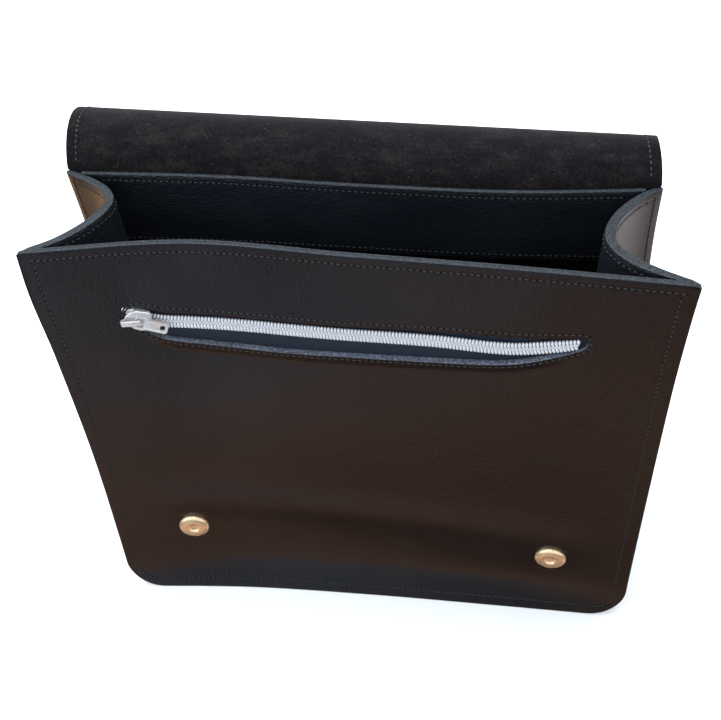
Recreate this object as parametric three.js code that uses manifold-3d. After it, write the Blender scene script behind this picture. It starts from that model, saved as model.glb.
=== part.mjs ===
// A leather messenger bag that stands open, with its flap thrown back behind it.
// Millimetres. X runs across the front, Y from front to back, Z up from the floor.
import * as THREE from 'three';
import { mergeVertices } from 'three/addons/utils/BufferGeometryUtils.js';
import Module from 'manifold-3d';

const wasm = await Module();
wasm.setup();

// Driving dimensions of the bag
const BAG_WIDTH = 320;
const BAG_HEIGHT = 272;
const BAG_DEPTH = 76;
const BACK_WIDTH = BAG_WIDTH - 4;
const CORNER_RADIUS = 23;
const FLAP_LENGTH = 312;
const FLAP_BEND_RADIUS = 25.5;
const FLAP_CORNER_RADIUS = 24;
const FACING_HEIGHT = 45;

// Leathers and cloth
const PANEL_LEATHER = 2.2;
const FRONT_LINING = 1.3;
const GUSSET_LEATHER = 2.4;
const GUSSET_LINING = 2.2;
const FLAP_SUEDE = 1.4;
const FACING_LEATHER = 1.8;
const LAYER_GAP = 0.3;
const SEAM_ROOM = 0.2;
const SEAM_FLANGE = 8;
const SEAM_SKIVE = 0.72;
const POCKET_SLACK = 2.6;

// Zip
const ZIP_HEIGHT = 222;
const SLOT_LENGTH = BAG_WIDTH * 0.740625;
const SLOT_OPENING = 21;
const TAPE_THICKNESS = 0.6;
const TAPE_MARGIN = 6;
const COIL_WIDTH = 8;
const COIL_THICKNESS = 2.5;
const SLIDER_LENGTH = 14;
const SLIDER_WIDTH = 11.5;
const SLIDER_PLATE = 1.4;
const BRIDGE_WIDTH = 3.2;
const BRIDGE_METAL = 1.1;
const BRIDGE_LENGTH = 10.5;
const BRIDGE_START = 3.3;
const PULL_LENGTH = 17;
const PULL_WIDTH = 7;
const PULL_EYE_WIDTH = 8.8;
const PULL_EYE_LENGTH = 3.75;
const PULL_ARM = 1.5;
const PULL_THICKNESS = 1.1;
const PULL_BAR = 1.3;
const PULL_HOLE_LENGTH = 2.6;
const PULL_HOLE_WIDTH = 3.6;
const PULL_HOLE_RIM = 1.5;
const PULL_TURN = 22;
const PULL_TILT = 1.5;
const RUNNING_GAP = 0.35;
const BAR_PLAY = 0.4;

// Magnetic snaps
const SNAP_DIAMETER = 18.5;
const SNAP_HEIGHT = 3;
const SNAP_HOLE = 6;
const STUD_HEIGHT = 4;
const SNAP_SEAT = 0.35;
const STUD_FROM_FLAP_END = 19;

// How far each place of the front leather is pushed in, as shares of the depth
const FRONT_SHAPE = [
  { up: 0.0, leftEdge: -0.026, leftQuarter: 0.046, middle: 0.053, rightQuarter: 0.033, rightEdge: 0.007 },
  { up: 0.04, leftEdge: -0.02, leftQuarter: 0.072, middle: 0.079, rightQuarter: 0.059, rightEdge: 0.013 },
  { up: 0.1, leftEdge: -0.013, leftQuarter: 0.105, middle: 0.118, rightQuarter: 0.092, rightEdge: 0.02 },
  { up: 0.22, leftEdge: -0.013, leftQuarter: 0.112, middle: 0.118, rightQuarter: 0.072, rightEdge: 0.007 },
  { up: 0.55, leftEdge: -0.007, leftQuarter: 0.112, middle: 0.092, rightQuarter: 0.033, rightEdge: -0.04 },
  { up: 0.85, leftEdge: 0.013, leftQuarter: 0.158, middle: 0.099, rightQuarter: 0.013, rightEdge: -0.079 },
  { up: 1.0, leftEdge: 0.026, leftQuarter: 0.178, middle: 0.092, rightQuarter: 0.007, rightEdge: -0.099 },
];

// How far each place of the back leather stands out, as shares of the depth
const BACK_SHAPE = [
  { up: 0.0, leftEdge: 0.0, leftQuarter: -0.03, middle: -0.04, rightQuarter: -0.03, rightEdge: 0.0 },
  { up: 0.1, leftEdge: 0.005, leftQuarter: -0.045, middle: -0.05, rightQuarter: -0.045, rightEdge: 0.0 },
  { up: 0.45, leftEdge: 0.02, leftQuarter: 0.03, middle: 0.03, rightQuarter: 0.01, rightEdge: -0.01 },
  { up: 0.8, leftEdge: 0.035, leftQuarter: 0.04, middle: 0.0, rightQuarter: -0.035, rightEdge: -0.015 },
  { up: 1.0, leftEdge: 0.04, leftQuarter: 0.03, middle: -0.045, rightQuarter: -0.085, rightEdge: -0.02 },
];

// How far the sides fold in between front and back, as shares of the depth
const GUSSET_FOLD = [
  { up: 0.0, inward: 0.17 },
  { up: 0.1, inward: 0.21 },
  { up: 0.35, inward: 0.34 },
  { up: 0.7, inward: 0.44 },
  { up: 1.0, inward: 0.43 },
];

// Where the crest of that fold lies between the front flange and the back flange
const FOLD_CREST = { Left: 0.56, Bottom: 0.5, Right: 0.38 };

// How the fold curves: how far it follows each flange, how steeply it leaves it and how broad its crest is
const FOLD_CURVE = { frontFollow: 0.45, backFollow: 0.3, leave: 0.07, crest: 0.2 };

// The side edges of front and back against a straight upright, as shares of the width, plus is outward
const SIDE_EDGES = [
  { up: 0.0, frontLeft: 0.002, frontRight: -0.006, backLeft: 0.0, backRight: 0.0 },
  { up: 0.45, frontLeft: -0.003, frontRight: -0.002, backLeft: 0.001, backRight: -0.005 },
  { up: 0.75, frontLeft: 0.002, frontRight: 0.002, backLeft: -0.001, backRight: -0.011 },
  { up: 0.9, frontLeft: 0.007, frontRight: 0.007, backLeft: 0.001, backRight: -0.014 },
  { up: 1.0, frontLeft: 0.005, frontRight: 0.012, backLeft: 0.003, backRight: -0.016 },
];

// The zip slot from its left end: the coil's line and the two lips, as shares of the opening above the zip line,
// and how wide the coil is there as a share of its full width
const ZIP_SLOT = [
  { along: 0.0, coil: 0.3, upperLip: 0.46, lowerLip: 0.2, coilWidth: 1.0 },
  { along: 0.03, coil: 0.2, upperLip: 0.55, lowerLip: -0.16, coilWidth: 1.0 },
  { along: 0.09, coil: 0.05, upperLip: 0.38, lowerLip: -0.5, coilWidth: 1.0 },
  { along: 0.31, coil: -0.05, upperLip: 0.25, lowerLip: -0.75, coilWidth: 1.0 },
  { along: 0.48, coil: -0.02, upperLip: 0.26, lowerLip: -0.72, coilWidth: 1.0 },
  { along: 0.68, coil: 0.05, upperLip: 0.34, lowerLip: -0.63, coilWidth: 1.0 },
  { along: 0.84, coil: 0.02, upperLip: 0.35, lowerLip: -0.47, coilWidth: 1.0 },
  { along: 0.94, coil: 0.22, upperLip: 0.46, lowerLip: -0.1, coilWidth: 0.95 },
  { along: 1.0, coil: 0.38, upperLip: 0.56, lowerLip: 0.2, coilWidth: 0.7 },
];

// The ends of the coil in the slot, and the slider's place on it, as shares of the slot
const COIL_START = 0.02;
const COIL_END = 0.985;
const SLIDER_ALONG = 0.026;

// Snap places as shares of the width and height
const SNAPS = [
  { side: 'left', across: -0.34, up: 0.213 },
  { side: 'right', across: 0.345, up: 0.186 },
];

// Slider outline from its closed end to its wide nose, as shares of its length and half width
const SLIDER_OUTLINE = [
  { along: 0.0, half: 0.62 },
  { along: 0.45, half: 0.74 },
  { along: 0.7, half: 1.0 },
  { along: 0.88, half: 0.92 },
  { along: 1.0, half: 0.5 },
];

const LEATHER = { color: 0x2e2622, roughness: 0.5, metalness: 0 };
const INNER_LEATHER = { color: 0x14181f, roughness: 0.6, metalness: 0 };
const SUEDE = { color: 0x29241f, roughness: 0.95, metalness: 0 };
const TAPE = { color: 0x1c222e, roughness: 0.8, metalness: 0 };
const ZIP_METAL = { color: 0xc9ccd0, roughness: 0.3, metalness: 1 };
const SNAP_METAL = { color: 0xcbb186, roughness: 0.3, metalness: 1 };

const bag = new THREE.Group();

// A smooth curve through the knots, read at one place
function smoothThrough(knots, values, place) {
  const last = knots.length - 1;
  const at = Math.min(Math.max(place, knots[0]), knots[last]);
  let left = 0;
  while (left < last - 1 && knots[left + 1] <= at) left += 1;
  const slope = (index) => {
    const before = Math.max(index - 1, 0);
    const after = Math.min(index + 1, last);
    return (values[after] - values[before]) / (knots[after] - knots[before]);
  };
  const step = knots[left + 1] - knots[left];
  const t = (at - knots[left]) / step;
  const t2 = t * t;
  const t3 = t2 * t;
  return (2 * t3 - 3 * t2 + 1) * values[left] + (t3 - 2 * t2 + t) * step * slope(left)
    + (3 * t2 - 2 * t3) * values[left + 1] + (t3 - t2) * step * slope(left + 1);
}

function column(table, knotName, name, place) {
  return smoothThrough(table.map((row) => row[knotName]), table.map((row) => row[name]), place);
}

const PLACES_ACROSS = { leftEdge: -1, leftQuarter: -0.5, middle: 0, rightQuarter: 0.5, rightEdge: 1 };

function shapeAt(table, across, up) {
  const names = Object.keys(PLACES_ACROSS);
  const values = names.map((name) => column(table, 'up', name, up));
  return smoothThrough(Object.values(PLACES_ACROSS), values, across);
}

function slotAt(name, along) {
  return ZIP_HEIGHT + SLOT_OPENING * column(ZIP_SLOT, 'along', name, along);
}

// Outer faces of the front and the back leather: y at a place (x, z)
function frontFace(x, z) {
  const push = shapeAt(FRONT_SHAPE, x / (BAG_WIDTH / 2), z / BAG_HEIGHT);
  return BAG_DEPTH * (push - 0.5);
}

function backFace(x, z) {
  const push = shapeAt(BACK_SHAPE, x / (BAG_WIDTH / 2), z / BAG_HEIGHT);
  return BAG_DEPTH * (push + 0.5);
}

// Outlines of the two panels: x of the left or right edge at a height, with the rounded bottom corners
function cornerInset(z, radius) {
  const below = Math.max(radius - z, 0);
  return radius - Math.sqrt(radius * radius - below * below);
}

function edgeX(panel, side, z) {
  const width = panel === 'front' ? BAG_WIDTH : BACK_WIDTH;
  const lean = BAG_WIDTH * column(SIDE_EDGES, 'up', `${panel}${side}`, z / BAG_HEIGHT);
  const out = width / 2 + lean - cornerInset(z, CORNER_RADIUS);
  return side === 'Left' ? -out : out;
}

function acrossPanel(panel, share, z) {
  return THREE.MathUtils.lerp(edgeX(panel, 'Left', z), edgeX(panel, 'Right', z), share);
}

// Heights of the rows that panels and side strip share: close together where the leather curves most
const CORNER_STEPS = 4;
const FLARE_TOP = BAG_HEIGHT * 0.26;
const FLARE_STEPS = 3;
const UPPER_STEPS = 7;

function rowHeights() {
  const heights = [];
  for (let i = 0; i < CORNER_STEPS; i += 1) {
    heights.push(CORNER_RADIUS * (1 - Math.cos((Math.PI / 2) * (i / CORNER_STEPS))));
  }
  for (let i = 0; i < FLARE_STEPS; i += 1) {
    heights.push(THREE.MathUtils.lerp(CORNER_RADIUS, FLARE_TOP, i / FLARE_STEPS));
  }
  for (let i = 0; i <= UPPER_STEPS; i += 1) {
    heights.push(THREE.MathUtils.lerp(FLARE_TOP, BAG_HEIGHT, i / UPPER_STEPS));
  }
  return heights;
}

// A closed sheet between two grids of points: skin(i, j, 0) is the outer face and skin(i, j, 1) the inner
function closedSheet(columns, rows, skin) {
  const positions = [];
  const index = [];
  const perFace = (columns + 1) * (rows + 1);
  for (let face = 0; face < 2; face += 1) {
    for (let j = 0; j <= rows; j += 1) {
      for (let i = 0; i <= columns; i += 1) positions.push(...skin(i, j, face).toArray());
    }
  }
  const at = (i, j, face) => face * perFace + j * (columns + 1) + i;
  const quad = (a, b, c, d) => index.push(a, b, c, a, c, d);
  for (let j = 0; j < rows; j += 1) {
    for (let i = 0; i < columns; i += 1) {
      quad(at(i, j, 0), at(i + 1, j, 0), at(i + 1, j + 1, 0), at(i, j + 1, 0));
      quad(at(i, j, 1), at(i, j + 1, 1), at(i + 1, j + 1, 1), at(i + 1, j, 1));
    }
  }
  for (let i = 0; i < columns; i += 1) {
    quad(at(i, 0, 1), at(i + 1, 0, 1), at(i + 1, 0, 0), at(i, 0, 0));
    quad(at(i, rows, 0), at(i + 1, rows, 0), at(i + 1, rows, 1), at(i, rows, 1));
  }
  for (let j = 0; j < rows; j += 1) {
    quad(at(0, j, 1), at(0, j, 0), at(0, j + 1, 0), at(0, j + 1, 1));
    quad(at(columns, j, 0), at(columns, j, 1), at(columns, j + 1, 1), at(columns, j + 1, 0));
  }
  return bufferOf(positions, index);
}

function bufferOf(positions, index) {
  const geometry = new THREE.BufferGeometry();
  geometry.setAttribute('position', new THREE.Float32BufferAttribute(positions, 3));
  geometry.setIndex(index);
  return outward(geometry);
}

// Turns a closed body's faces outward
function outward(geometry) {
  const position = geometry.attributes.position;
  const order = geometry.index.array;
  const [a, b, c] = [new THREE.Vector3(), new THREE.Vector3(), new THREE.Vector3()];
  let volume = 0;
  for (let i = 0; i < order.length; i += 3) {
    a.fromBufferAttribute(position, order[i]);
    b.fromBufferAttribute(position, order[i + 1]);
    c.fromBufferAttribute(position, order[i + 2]);
    volume += a.dot(b.cross(c));
  }
  if (volume < 0) {
    for (let i = 0; i < order.length; i += 3) [order[i], order[i + 1]] = [order[i + 1], order[i]];
  }
  return geometry;
}

function welded(geometry) {
  const bare = geometry.clone();
  bare.deleteAttribute('normal');
  bare.deleteAttribute('uv');
  return mergeVertices(bare, 1e-4);
}

// Booleans between closed bodies
function solidOf(geometry) {
  const merged = welded(geometry);
  return new wasm.Manifold(new wasm.Mesh({
    numProp: 3,
    vertProperties: new Float32Array(merged.attributes.position.array),
    triVerts: new Uint32Array(merged.index.array),
  }));
}

function geometryOf(solid) {
  const mesh = solid.getMesh();
  const geometry = new THREE.BufferGeometry();
  geometry.setAttribute('position', new THREE.BufferAttribute(new Float32Array(mesh.vertProperties), 3));
  geometry.setIndex(new THREE.BufferAttribute(new Uint32Array(mesh.triVerts), 1));
  return geometry;
}

function cut(geometry, ...tools) {
  return geometryOf(tools.reduce((solid, tool) => solid.subtract(solidOf(tool)), solidOf(geometry)));
}

function join(geometry, ...others) {
  return geometryOf(others.reduce((solid, other) => solid.add(solidOf(other)), solidOf(geometry)));
}

function piece(name, geometry, finish, parent = bag) {
  geometry.computeVertexNormals();
  const mesh = new THREE.Mesh(geometry, new THREE.MeshStandardMaterial(finish));
  mesh.name = name;
  parent.add(mesh);
  return mesh;
}

// A panel of leather over the rows and columns, between two depths behind a face
const PANEL_COLUMNS = 18;

function panelSheet(panel, nearY, farY) {
  const heights = rowHeights();
  return closedSheet(PANEL_COLUMNS, heights.length - 1, (i, j, face) => {
    const z = heights[j];
    const x = acrossPanel(panel, i / PANEL_COLUMNS, z);
    return new THREE.Vector3(x, (face === 0 ? nearY : farY)(x, z), z);
  });
}

// The slot through the front leather, as a closed block along Y
const SLOT_STEPS = 24;

function slotX(along) {
  return SLOT_LENGTH * (along - 0.5);
}

function slotTool() {
  const lip = (name) => Array.from({ length: SLOT_STEPS + 1 }, (_, i) => {
    const along = (1 - Math.cos(Math.PI * (i / SLOT_STEPS))) / 2;
    return new THREE.Vector2(slotX(along), slotAt(name, along));
  });
  const outline = [...lip('upperLip'), ...lip('lowerLip').reverse()];
  const tool = new THREE.ExtrudeGeometry(new THREE.Shape(outline), { depth: BAG_DEPTH, bevelEnabled: false });
  tool.rotateX(Math.PI / 2);
  return tool;
}

function frontPanel() {
  const sheet = panelSheet('front', frontFace, (x, z) => frontFace(x, z) + PANEL_LEATHER);
  piece('front_panel', cut(sheet, slotTool()), LEATHER);
}

// The lining behind the front hangs a little slack, which leaves a flat pocket behind the zip
function pocketSlack(x, z) {
  const fromSide = THREE.MathUtils.smoothstep(BAG_WIDTH / 2 - Math.abs(x), 2 * SEAM_FLANGE, 4 * SEAM_FLANGE);
  const fromTop = THREE.MathUtils.smoothstep(1 - z / BAG_HEIGHT, 0, 0.1);
  const fromFloor = THREE.MathUtils.smoothstep(z / BAG_HEIGHT, 0.1, 0.3);
  return POCKET_SLACK * fromSide * fromTop * fromFloor;
}

function liningFace(x, z) {
  return frontFace(x, z) + PANEL_LEATHER + LAYER_GAP + pocketSlack(x, z);
}

function frontLining() {
  piece('front_lining', panelSheet('front', liningFace, (x, z) => liningFace(x, z) + FRONT_LINING), INNER_LEATHER);
}

// The strip that makes the sides and the bottom, followed from the top left corner round to the top right
const CORNER_ARC_STEPS = 4;
const BOTTOM_STEPS = 8;
const FOLD_STEPS = 5;

function gussetStations() {
  const heights = rowHeights().filter((z) => z >= CORNER_RADIUS - 1e-6).reverse();
  const stations = heights.map((z) => ({ side: 'Left', z, turn: 0 }));
  for (let i = 1; i <= CORNER_ARC_STEPS; i += 1) {
    const turn = (Math.PI / 2) * (i / CORNER_ARC_STEPS);
    stations.push({ side: 'Left', z: CORNER_RADIUS * (1 - Math.sin(turn)), turn });
  }
  for (let i = 1; i < BOTTOM_STEPS; i += 1) {
    stations.push({ side: 'Bottom', z: 0, turn: Math.PI / 2, share: i / BOTTOM_STEPS });
  }
  const right = stations.filter((station) => station.side === 'Left').reverse();
  right.forEach((station) => stations.push({ side: 'Right', z: station.z, turn: Math.PI - station.turn }));
  return stations;
}

function stationEdge(panel, station) {
  if (station.side === 'Bottom') return acrossPanel(panel, station.share, 0);
  return edgeX(panel, station.side, station.z);
}

// The fold of the strip at one station, as points (inward from the edge, y)
function foldLine(station) {
  const inwardX = Math.cos(station.turn);
  const inwardZ = Math.sin(station.turn);
  const frontX = stationEdge('front', station);
  const backX = stationEdge('back', station);
  const skived = GUSSET_LINING * SEAM_SKIVE;
  const frontStack = PANEL_LEATHER + FRONT_LINING + skived + 2.5 * LAYER_GAP + SEAM_ROOM;
  const backStack = PANEL_LEATHER + skived + 1.5 * LAYER_GAP + SEAM_ROOM;
  const frontY = (inward) => frontFace(frontX + inwardX * inward, station.z + inwardZ * inward) + frontStack;
  const backY = (inward) => backFace(backX + inwardX * inward, station.z + inwardZ * inward) - backStack;
  const fold = BAG_DEPTH * column(GUSSET_FOLD, 'up', 'inward', station.z / BAG_HEIGHT);
  const [startY, endY] = [frontY(SEAM_FLANGE), backY(SEAM_FLANGE)];
  const crestY = THREE.MathUtils.lerp(startY, endY, FOLD_CREST[station.side]);
  const reach = fold - SEAM_FLANGE;
  const depth = endY - startY;
  const point = (inward, y) => new THREE.Vector2(inward, y);
  const half = (flangeY, follow, away) => new THREE.CubicBezierCurve(
    point(SEAM_FLANGE, flangeY),
    point(SEAM_FLANGE + reach * follow, flangeY + away * depth * FOLD_CURVE.leave),
    point(fold, crestY - away * depth * FOLD_CURVE.crest),
    point(fold, crestY),
  );
  const frontHalf = half(startY, FOLD_CURVE.frontFollow, 1).getPoints(FOLD_STEPS);
  const backHalf = half(endY, FOLD_CURVE.backFollow, -1).getPoints(FOLD_STEPS).reverse();
  const line = [point(0, frontY(0)), ...frontHalf, ...backHalf.slice(1), point(0, backY(0))];
  return { line, frontX, backX, inwardX, inwardZ };
}

// How far a point of the fold line moves for a layer at a distance, so the layer keeps its distance in the bends
function layerShift(line, i, distance) {
  const last = line.length - 1;
  const normal = (from, to) => {
    const along = line[to].clone().sub(line[from]).normalize();
    return new THREE.Vector2(along.y, -along.x);
  };
  if (i === 0 || i === last) {
    const flange = i === 0 ? normal(0, 1) : normal(last - 1, last);
    return new THREE.Vector2(0, Math.sign(flange.y) * distance);
  }
  const [before, after] = [normal(i - 1, i), normal(i, i + 1)];
  return before.clone().add(after).multiplyScalar(distance / (1 + before.dot(after)));
}

// One layer of the strip on one side of the fold line, plus is toward the inside of the bag.
// Both layers are skived thinner where they are sewn between the panels.
function gussetLayer(direction, thickness) {
  const stations = gussetStations();
  const folds = stations.map(foldLine);
  const columns = folds[0].line.length - 1;
  return closedSheet(columns, stations.length - 1, (i, j, face) => {
    const { line, frontX, backX, inwardX, inwardZ } = folds[j];
    const fromFlange = THREE.MathUtils.clamp((Math.min(i, columns - i) - 1) / 2, 0, 1);
    const full = thickness * THREE.MathUtils.lerp(SEAM_SKIVE, 1, fromFlange);
    const shift = layerShift(line, i, direction * (LAYER_GAP / 2 + (face === 0 ? 0 : full)));
    const inward = line[i].x + shift.x;
    const share = THREE.MathUtils.smoothstep(i / columns, 0.15, 0.85);
    const x = THREE.MathUtils.lerp(frontX, backX, share);
    return new THREE.Vector3(x + inwardX * inward, line[i].y + shift.y, stations[j].z + inwardZ * inward);
  });
}

function gusset() {
  piece('gusset', gussetLayer(-1, GUSSET_LEATHER), LEATHER);
  piece('gusset_lining', gussetLayer(1, GUSSET_LINING), INNER_LEATHER);
}

// The back leather runs on over the top as the flap. Its flap part follows a bend and then hangs down.
const FLAP_LEAN = 17;
const FLAP_HANG = 176;
const BEND_RIGHT_SHARE = 0.72;
const FLAP_DRIFT = 1.8;
const BEND_STEPS = 12;
const HANG_STEPS = 5;
const FLAP_END_STEPS = 4;
const FLAP_COLUMNS = 12;

// The bend is rounder at the left end than at the right, and the flap hangs a little to the left
function bendAt(share) {
  const lean = THREE.MathUtils.degToRad(FLAP_LEAN);
  const radius = FLAP_BEND_RADIUS * THREE.MathUtils.lerp(1, BEND_RIGHT_SHARE, share);
  const sweep = THREE.MathUtils.degToRad(FLAP_HANG) - lean;
  return { lean, radius, sweep, length: radius * sweep };
}

function flapPlace(share, along) {
  const { lean, radius, sweep, length } = bendAt(share);
  const angle = lean + Math.min(along / length, 1) * sweep;
  const straight = Math.max(along - length, 0);
  return {
    back: radius * (Math.cos(lean) - Math.cos(angle)) + straight * Math.sin(angle),
    up: radius * (Math.sin(angle) - Math.sin(lean)) + straight * Math.cos(angle),
    angle,
    settled: THREE.MathUtils.smoothstep(along / length, 0, 0.6),
  };
}

// A point of the flap, a distance along it from the back's top edge and a distance out from its leather's inner face
function flapPoint(share, along, distance) {
  const place = flapPlace(share, Math.max(along, 0));
  const inset = cornerInset(FLAP_LENGTH - along, FLAP_CORNER_RADIUS);
  const left = edgeX('back', 'Left', BAG_HEIGHT);
  const right = edgeX('back', 'Right', BAG_HEIGHT);
  const x = THREE.MathUtils.lerp(left + inset, right - inset, share) - FLAP_DRIFT * place.settled;
  const across = (x - left) / (right - left);
  const straightY = THREE.MathUtils.lerp(backFace(left, BAG_HEIGHT), backFace(right, BAG_HEIGHT), across);
  const rootY = THREE.MathUtils.lerp(backFace(x, BAG_HEIGHT), straightY, place.settled);
  const y = rootY - PANEL_LEATHER + place.back - distance * Math.cos(place.angle);
  return new THREE.Vector3(x, y, BAG_HEIGHT + place.up + distance * Math.sin(place.angle));
}

// Distances along the flap, each read for a share across it
function flapStops() {
  const roundStart = FLAP_LENGTH - FLAP_CORNER_RADIUS;
  const stops = [];
  for (let i = 1; i <= BEND_STEPS; i += 1) stops.push((share) => bendAt(share).length * (i / BEND_STEPS));
  for (let i = 1; i <= HANG_STEPS; i += 1) {
    stops.push((share) => THREE.MathUtils.lerp(bendAt(share).length, roundStart, i / HANG_STEPS));
  }
  for (let i = 1; i <= FLAP_END_STEPS; i += 1) {
    const end = roundStart + FLAP_CORNER_RADIUS * Math.sin((Math.PI / 2) * (i / FLAP_END_STEPS));
    stops.push(() => end);
  }
  return stops;
}

function backPanel() {
  const heights = rowHeights();
  const stops = flapStops();
  const sheet = closedSheet(FLAP_COLUMNS, heights.length - 1 + stops.length, (i, j, face) => {
    const share = i / FLAP_COLUMNS;
    if (j >= heights.length) {
      return flapPoint(share, stops[j - heights.length](share), face === 0 ? 0 : -PANEL_LEATHER);
    }
    const z = heights[j];
    const x = acrossPanel('back', share, z);
    return new THREE.Vector3(x, backFace(x, z) - (face === 0 ? PANEL_LEATHER : 0), z);
  });
  piece('back_panel', sheet, LEATHER);
}

// Suede lines the flap, and its hem reaches down behind the facing
const HEM_SHARE = 0.8;

function flapLining() {
  const stops = [() => 2 * LAYER_GAP, ...flapStops()];
  const hem = [FACING_HEIGHT * HEM_SHARE, FACING_HEIGHT * HEM_SHARE * 0.5, 0];
  const sheet = closedSheet(FLAP_COLUMNS, hem.length - 1 + stops.length, (i, j, face) => {
    const share = i / FLAP_COLUMNS;
    const distance = LAYER_GAP + SEAM_ROOM + (face === 0 ? 0 : FLAP_SUEDE);
    if (j >= hem.length) return flapPoint(share, stops[j - hem.length](share), distance);
    const z = BAG_HEIGHT - hem[j];
    const [left, right] = [edgeX('back', 'Left', z) + facingInset(), edgeX('back', 'Right', z) - facingInset()];
    const x = THREE.MathUtils.lerp(left, right, share);
    return new THREE.Vector3(x, backFace(x, z) - PANEL_LEATHER - distance, z);
  });
  piece('flap_lining', sheet, SUEDE);
}

// The facing covers the hem, between the two folded sides
const FACING_COLUMNS = 12;
const FACING_ROWS = 2;

function facingInset() {
  return SEAM_FLANGE + GUSSET_LINING + GUSSET_LEATHER + FACING_LEATHER + FLAP_SUEDE;
}

function backFacing() {
  const near = PANEL_LEATHER + FLAP_SUEDE + 2 * LAYER_GAP + SEAM_ROOM;
  const sheet = closedSheet(FACING_COLUMNS, FACING_ROWS, (i, j, face) => {
    const z = BAG_HEIGHT - FACING_HEIGHT * (1 - j / FACING_ROWS);
    const left = edgeX('back', 'Left', z) + facingInset();
    const right = edgeX('back', 'Right', z) - facingInset();
    const x = THREE.MathUtils.lerp(left, right, i / FACING_COLUMNS);
    return new THREE.Vector3(x, backFace(x, z) - near - (face === 0 ? FACING_LEATHER : 0), z);
  });
  piece('back_facing', sheet, INNER_LEATHER);
}

// Zip tape and coil follow the front leather
function tapeFace(x, z) {
  return frontFace(x, z) + PANEL_LEATHER + LAYER_GAP;
}

const ZIP_ROWS = 2;
const TAPE_COLUMNS = 18;
const COIL_COLUMNS = 28;
const COIL_CROWN = 0.4;

function zipTape() {
  const reach = SLOT_LENGTH + 2 * TAPE_MARGIN;
  const sheet = closedSheet(TAPE_COLUMNS, ZIP_ROWS, (i, j, face) => {
    const x = reach * (i / TAPE_COLUMNS - 0.5);
    const along = THREE.MathUtils.clamp(x / SLOT_LENGTH + 0.5, 0, 1);
    const bottom = slotAt('lowerLip', along) - TAPE_MARGIN;
    const top = slotAt('upperLip', along) + TAPE_MARGIN;
    const z = THREE.MathUtils.lerp(bottom, top, j / ZIP_ROWS);
    return new THREE.Vector3(x, tapeFace(x, z) + (face === 0 ? 0 : TAPE_THICKNESS), z);
  });
  piece('zip_tape', sheet, TAPE);
}

function zipCoil() {
  const sheet = closedSheet(COIL_COLUMNS, ZIP_ROWS, (i, j, face) => {
    const along = THREE.MathUtils.lerp(COIL_START, COIL_END, i / COIL_COLUMNS);
    const crown = j === 1 || face === 1 ? 0 : COIL_THICKNESS * COIL_CROWN;
    const width = COIL_WIDTH * column(ZIP_SLOT, 'along', 'coilWidth', along);
    const z = slotAt('coil', along) + width * (j / ZIP_ROWS - 0.5);
    const x = slotX(along);
    return new THREE.Vector3(x, frontFace(x, z) + PANEL_LEATHER + (face === 0 ? crown - COIL_THICKNESS : 0), z);
  });
  piece('zip_coil', sheet, ZIP_METAL);
}

// A group that lies on the front leather, with X along the bag, Y into it and Z up the leather
function onFront(x, z, lift) {
  const step = 2;
  const spot = new THREE.Vector3(x, frontFace(x, z), z);
  const along = new THREE.Vector3(2 * step, frontFace(x + step, z) - frontFace(x - step, z), 0).normalize();
  const up = new THREE.Vector3(0, frontFace(x, z + step) - frontFace(x, z - step), 2 * step);
  const into = up.cross(along).normalize();
  const group = new THREE.Group();
  group.quaternion.setFromRotationMatrix(new THREE.Matrix4().makeBasis(along, into, along.clone().cross(into)));
  group.position.copy(spot).addScaledVector(into, -lift);
  bag.add(group);
  return group;
}

// A group that lies on the suede of the flap, with X across it and Y straight out of it
function onFlap(share, along, lift) {
  const step = 2;
  const point = (right, down) => flapPoint(share + right / BACK_WIDTH, along + down, lift);
  const across = point(step, 0).sub(point(-step, 0)).normalize();
  const out = across.clone().cross(point(0, step).sub(point(0, -step))).normalize();
  const group = new THREE.Group();
  group.quaternion.setFromRotationMatrix(new THREE.Matrix4().makeBasis(across, out, across.clone().cross(out)));
  group.position.copy(point(0, 0));
  bag.add(group);
  return group;
}

// A flat shape in the X-Z plane, from a depth behind the plane to a height in front of it
function plate(shape, front, back) {
  const geometry = new THREE.ExtrudeGeometry(shape, { depth: front + back, bevelEnabled: false, curveSegments: 3 });
  geometry.rotateX(Math.PI / 2);
  geometry.translate(0, back, 0);
  return geometry;
}

function roundedRectangle(x0, z0, x1, z1, radius) {
  const path = new THREE.Path();
  path.moveTo(x0 + radius, z0);
  path.lineTo(x1 - radius, z0);
  path.absarc(x1 - radius, z0 + radius, radius, -Math.PI / 2, 0, false);
  path.lineTo(x1, z1 - radius);
  path.absarc(x1 - radius, z1 - radius, radius, 0, Math.PI / 2, false);
  path.lineTo(x0 + radius, z1);
  path.absarc(x0 + radius, z1 - radius, radius, Math.PI / 2, Math.PI, false);
  path.lineTo(x0, z0 + radius);
  path.absarc(x0 + radius, z0 + radius, radius, Math.PI, 1.5 * Math.PI, false);
  return path;
}

// The slider sits near the left end of the coil. Its bridge is an arch, and the pull's bar lies under it.
const COIL_FRONT = COIL_THICKNESS - PANEL_LEATHER;

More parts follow.
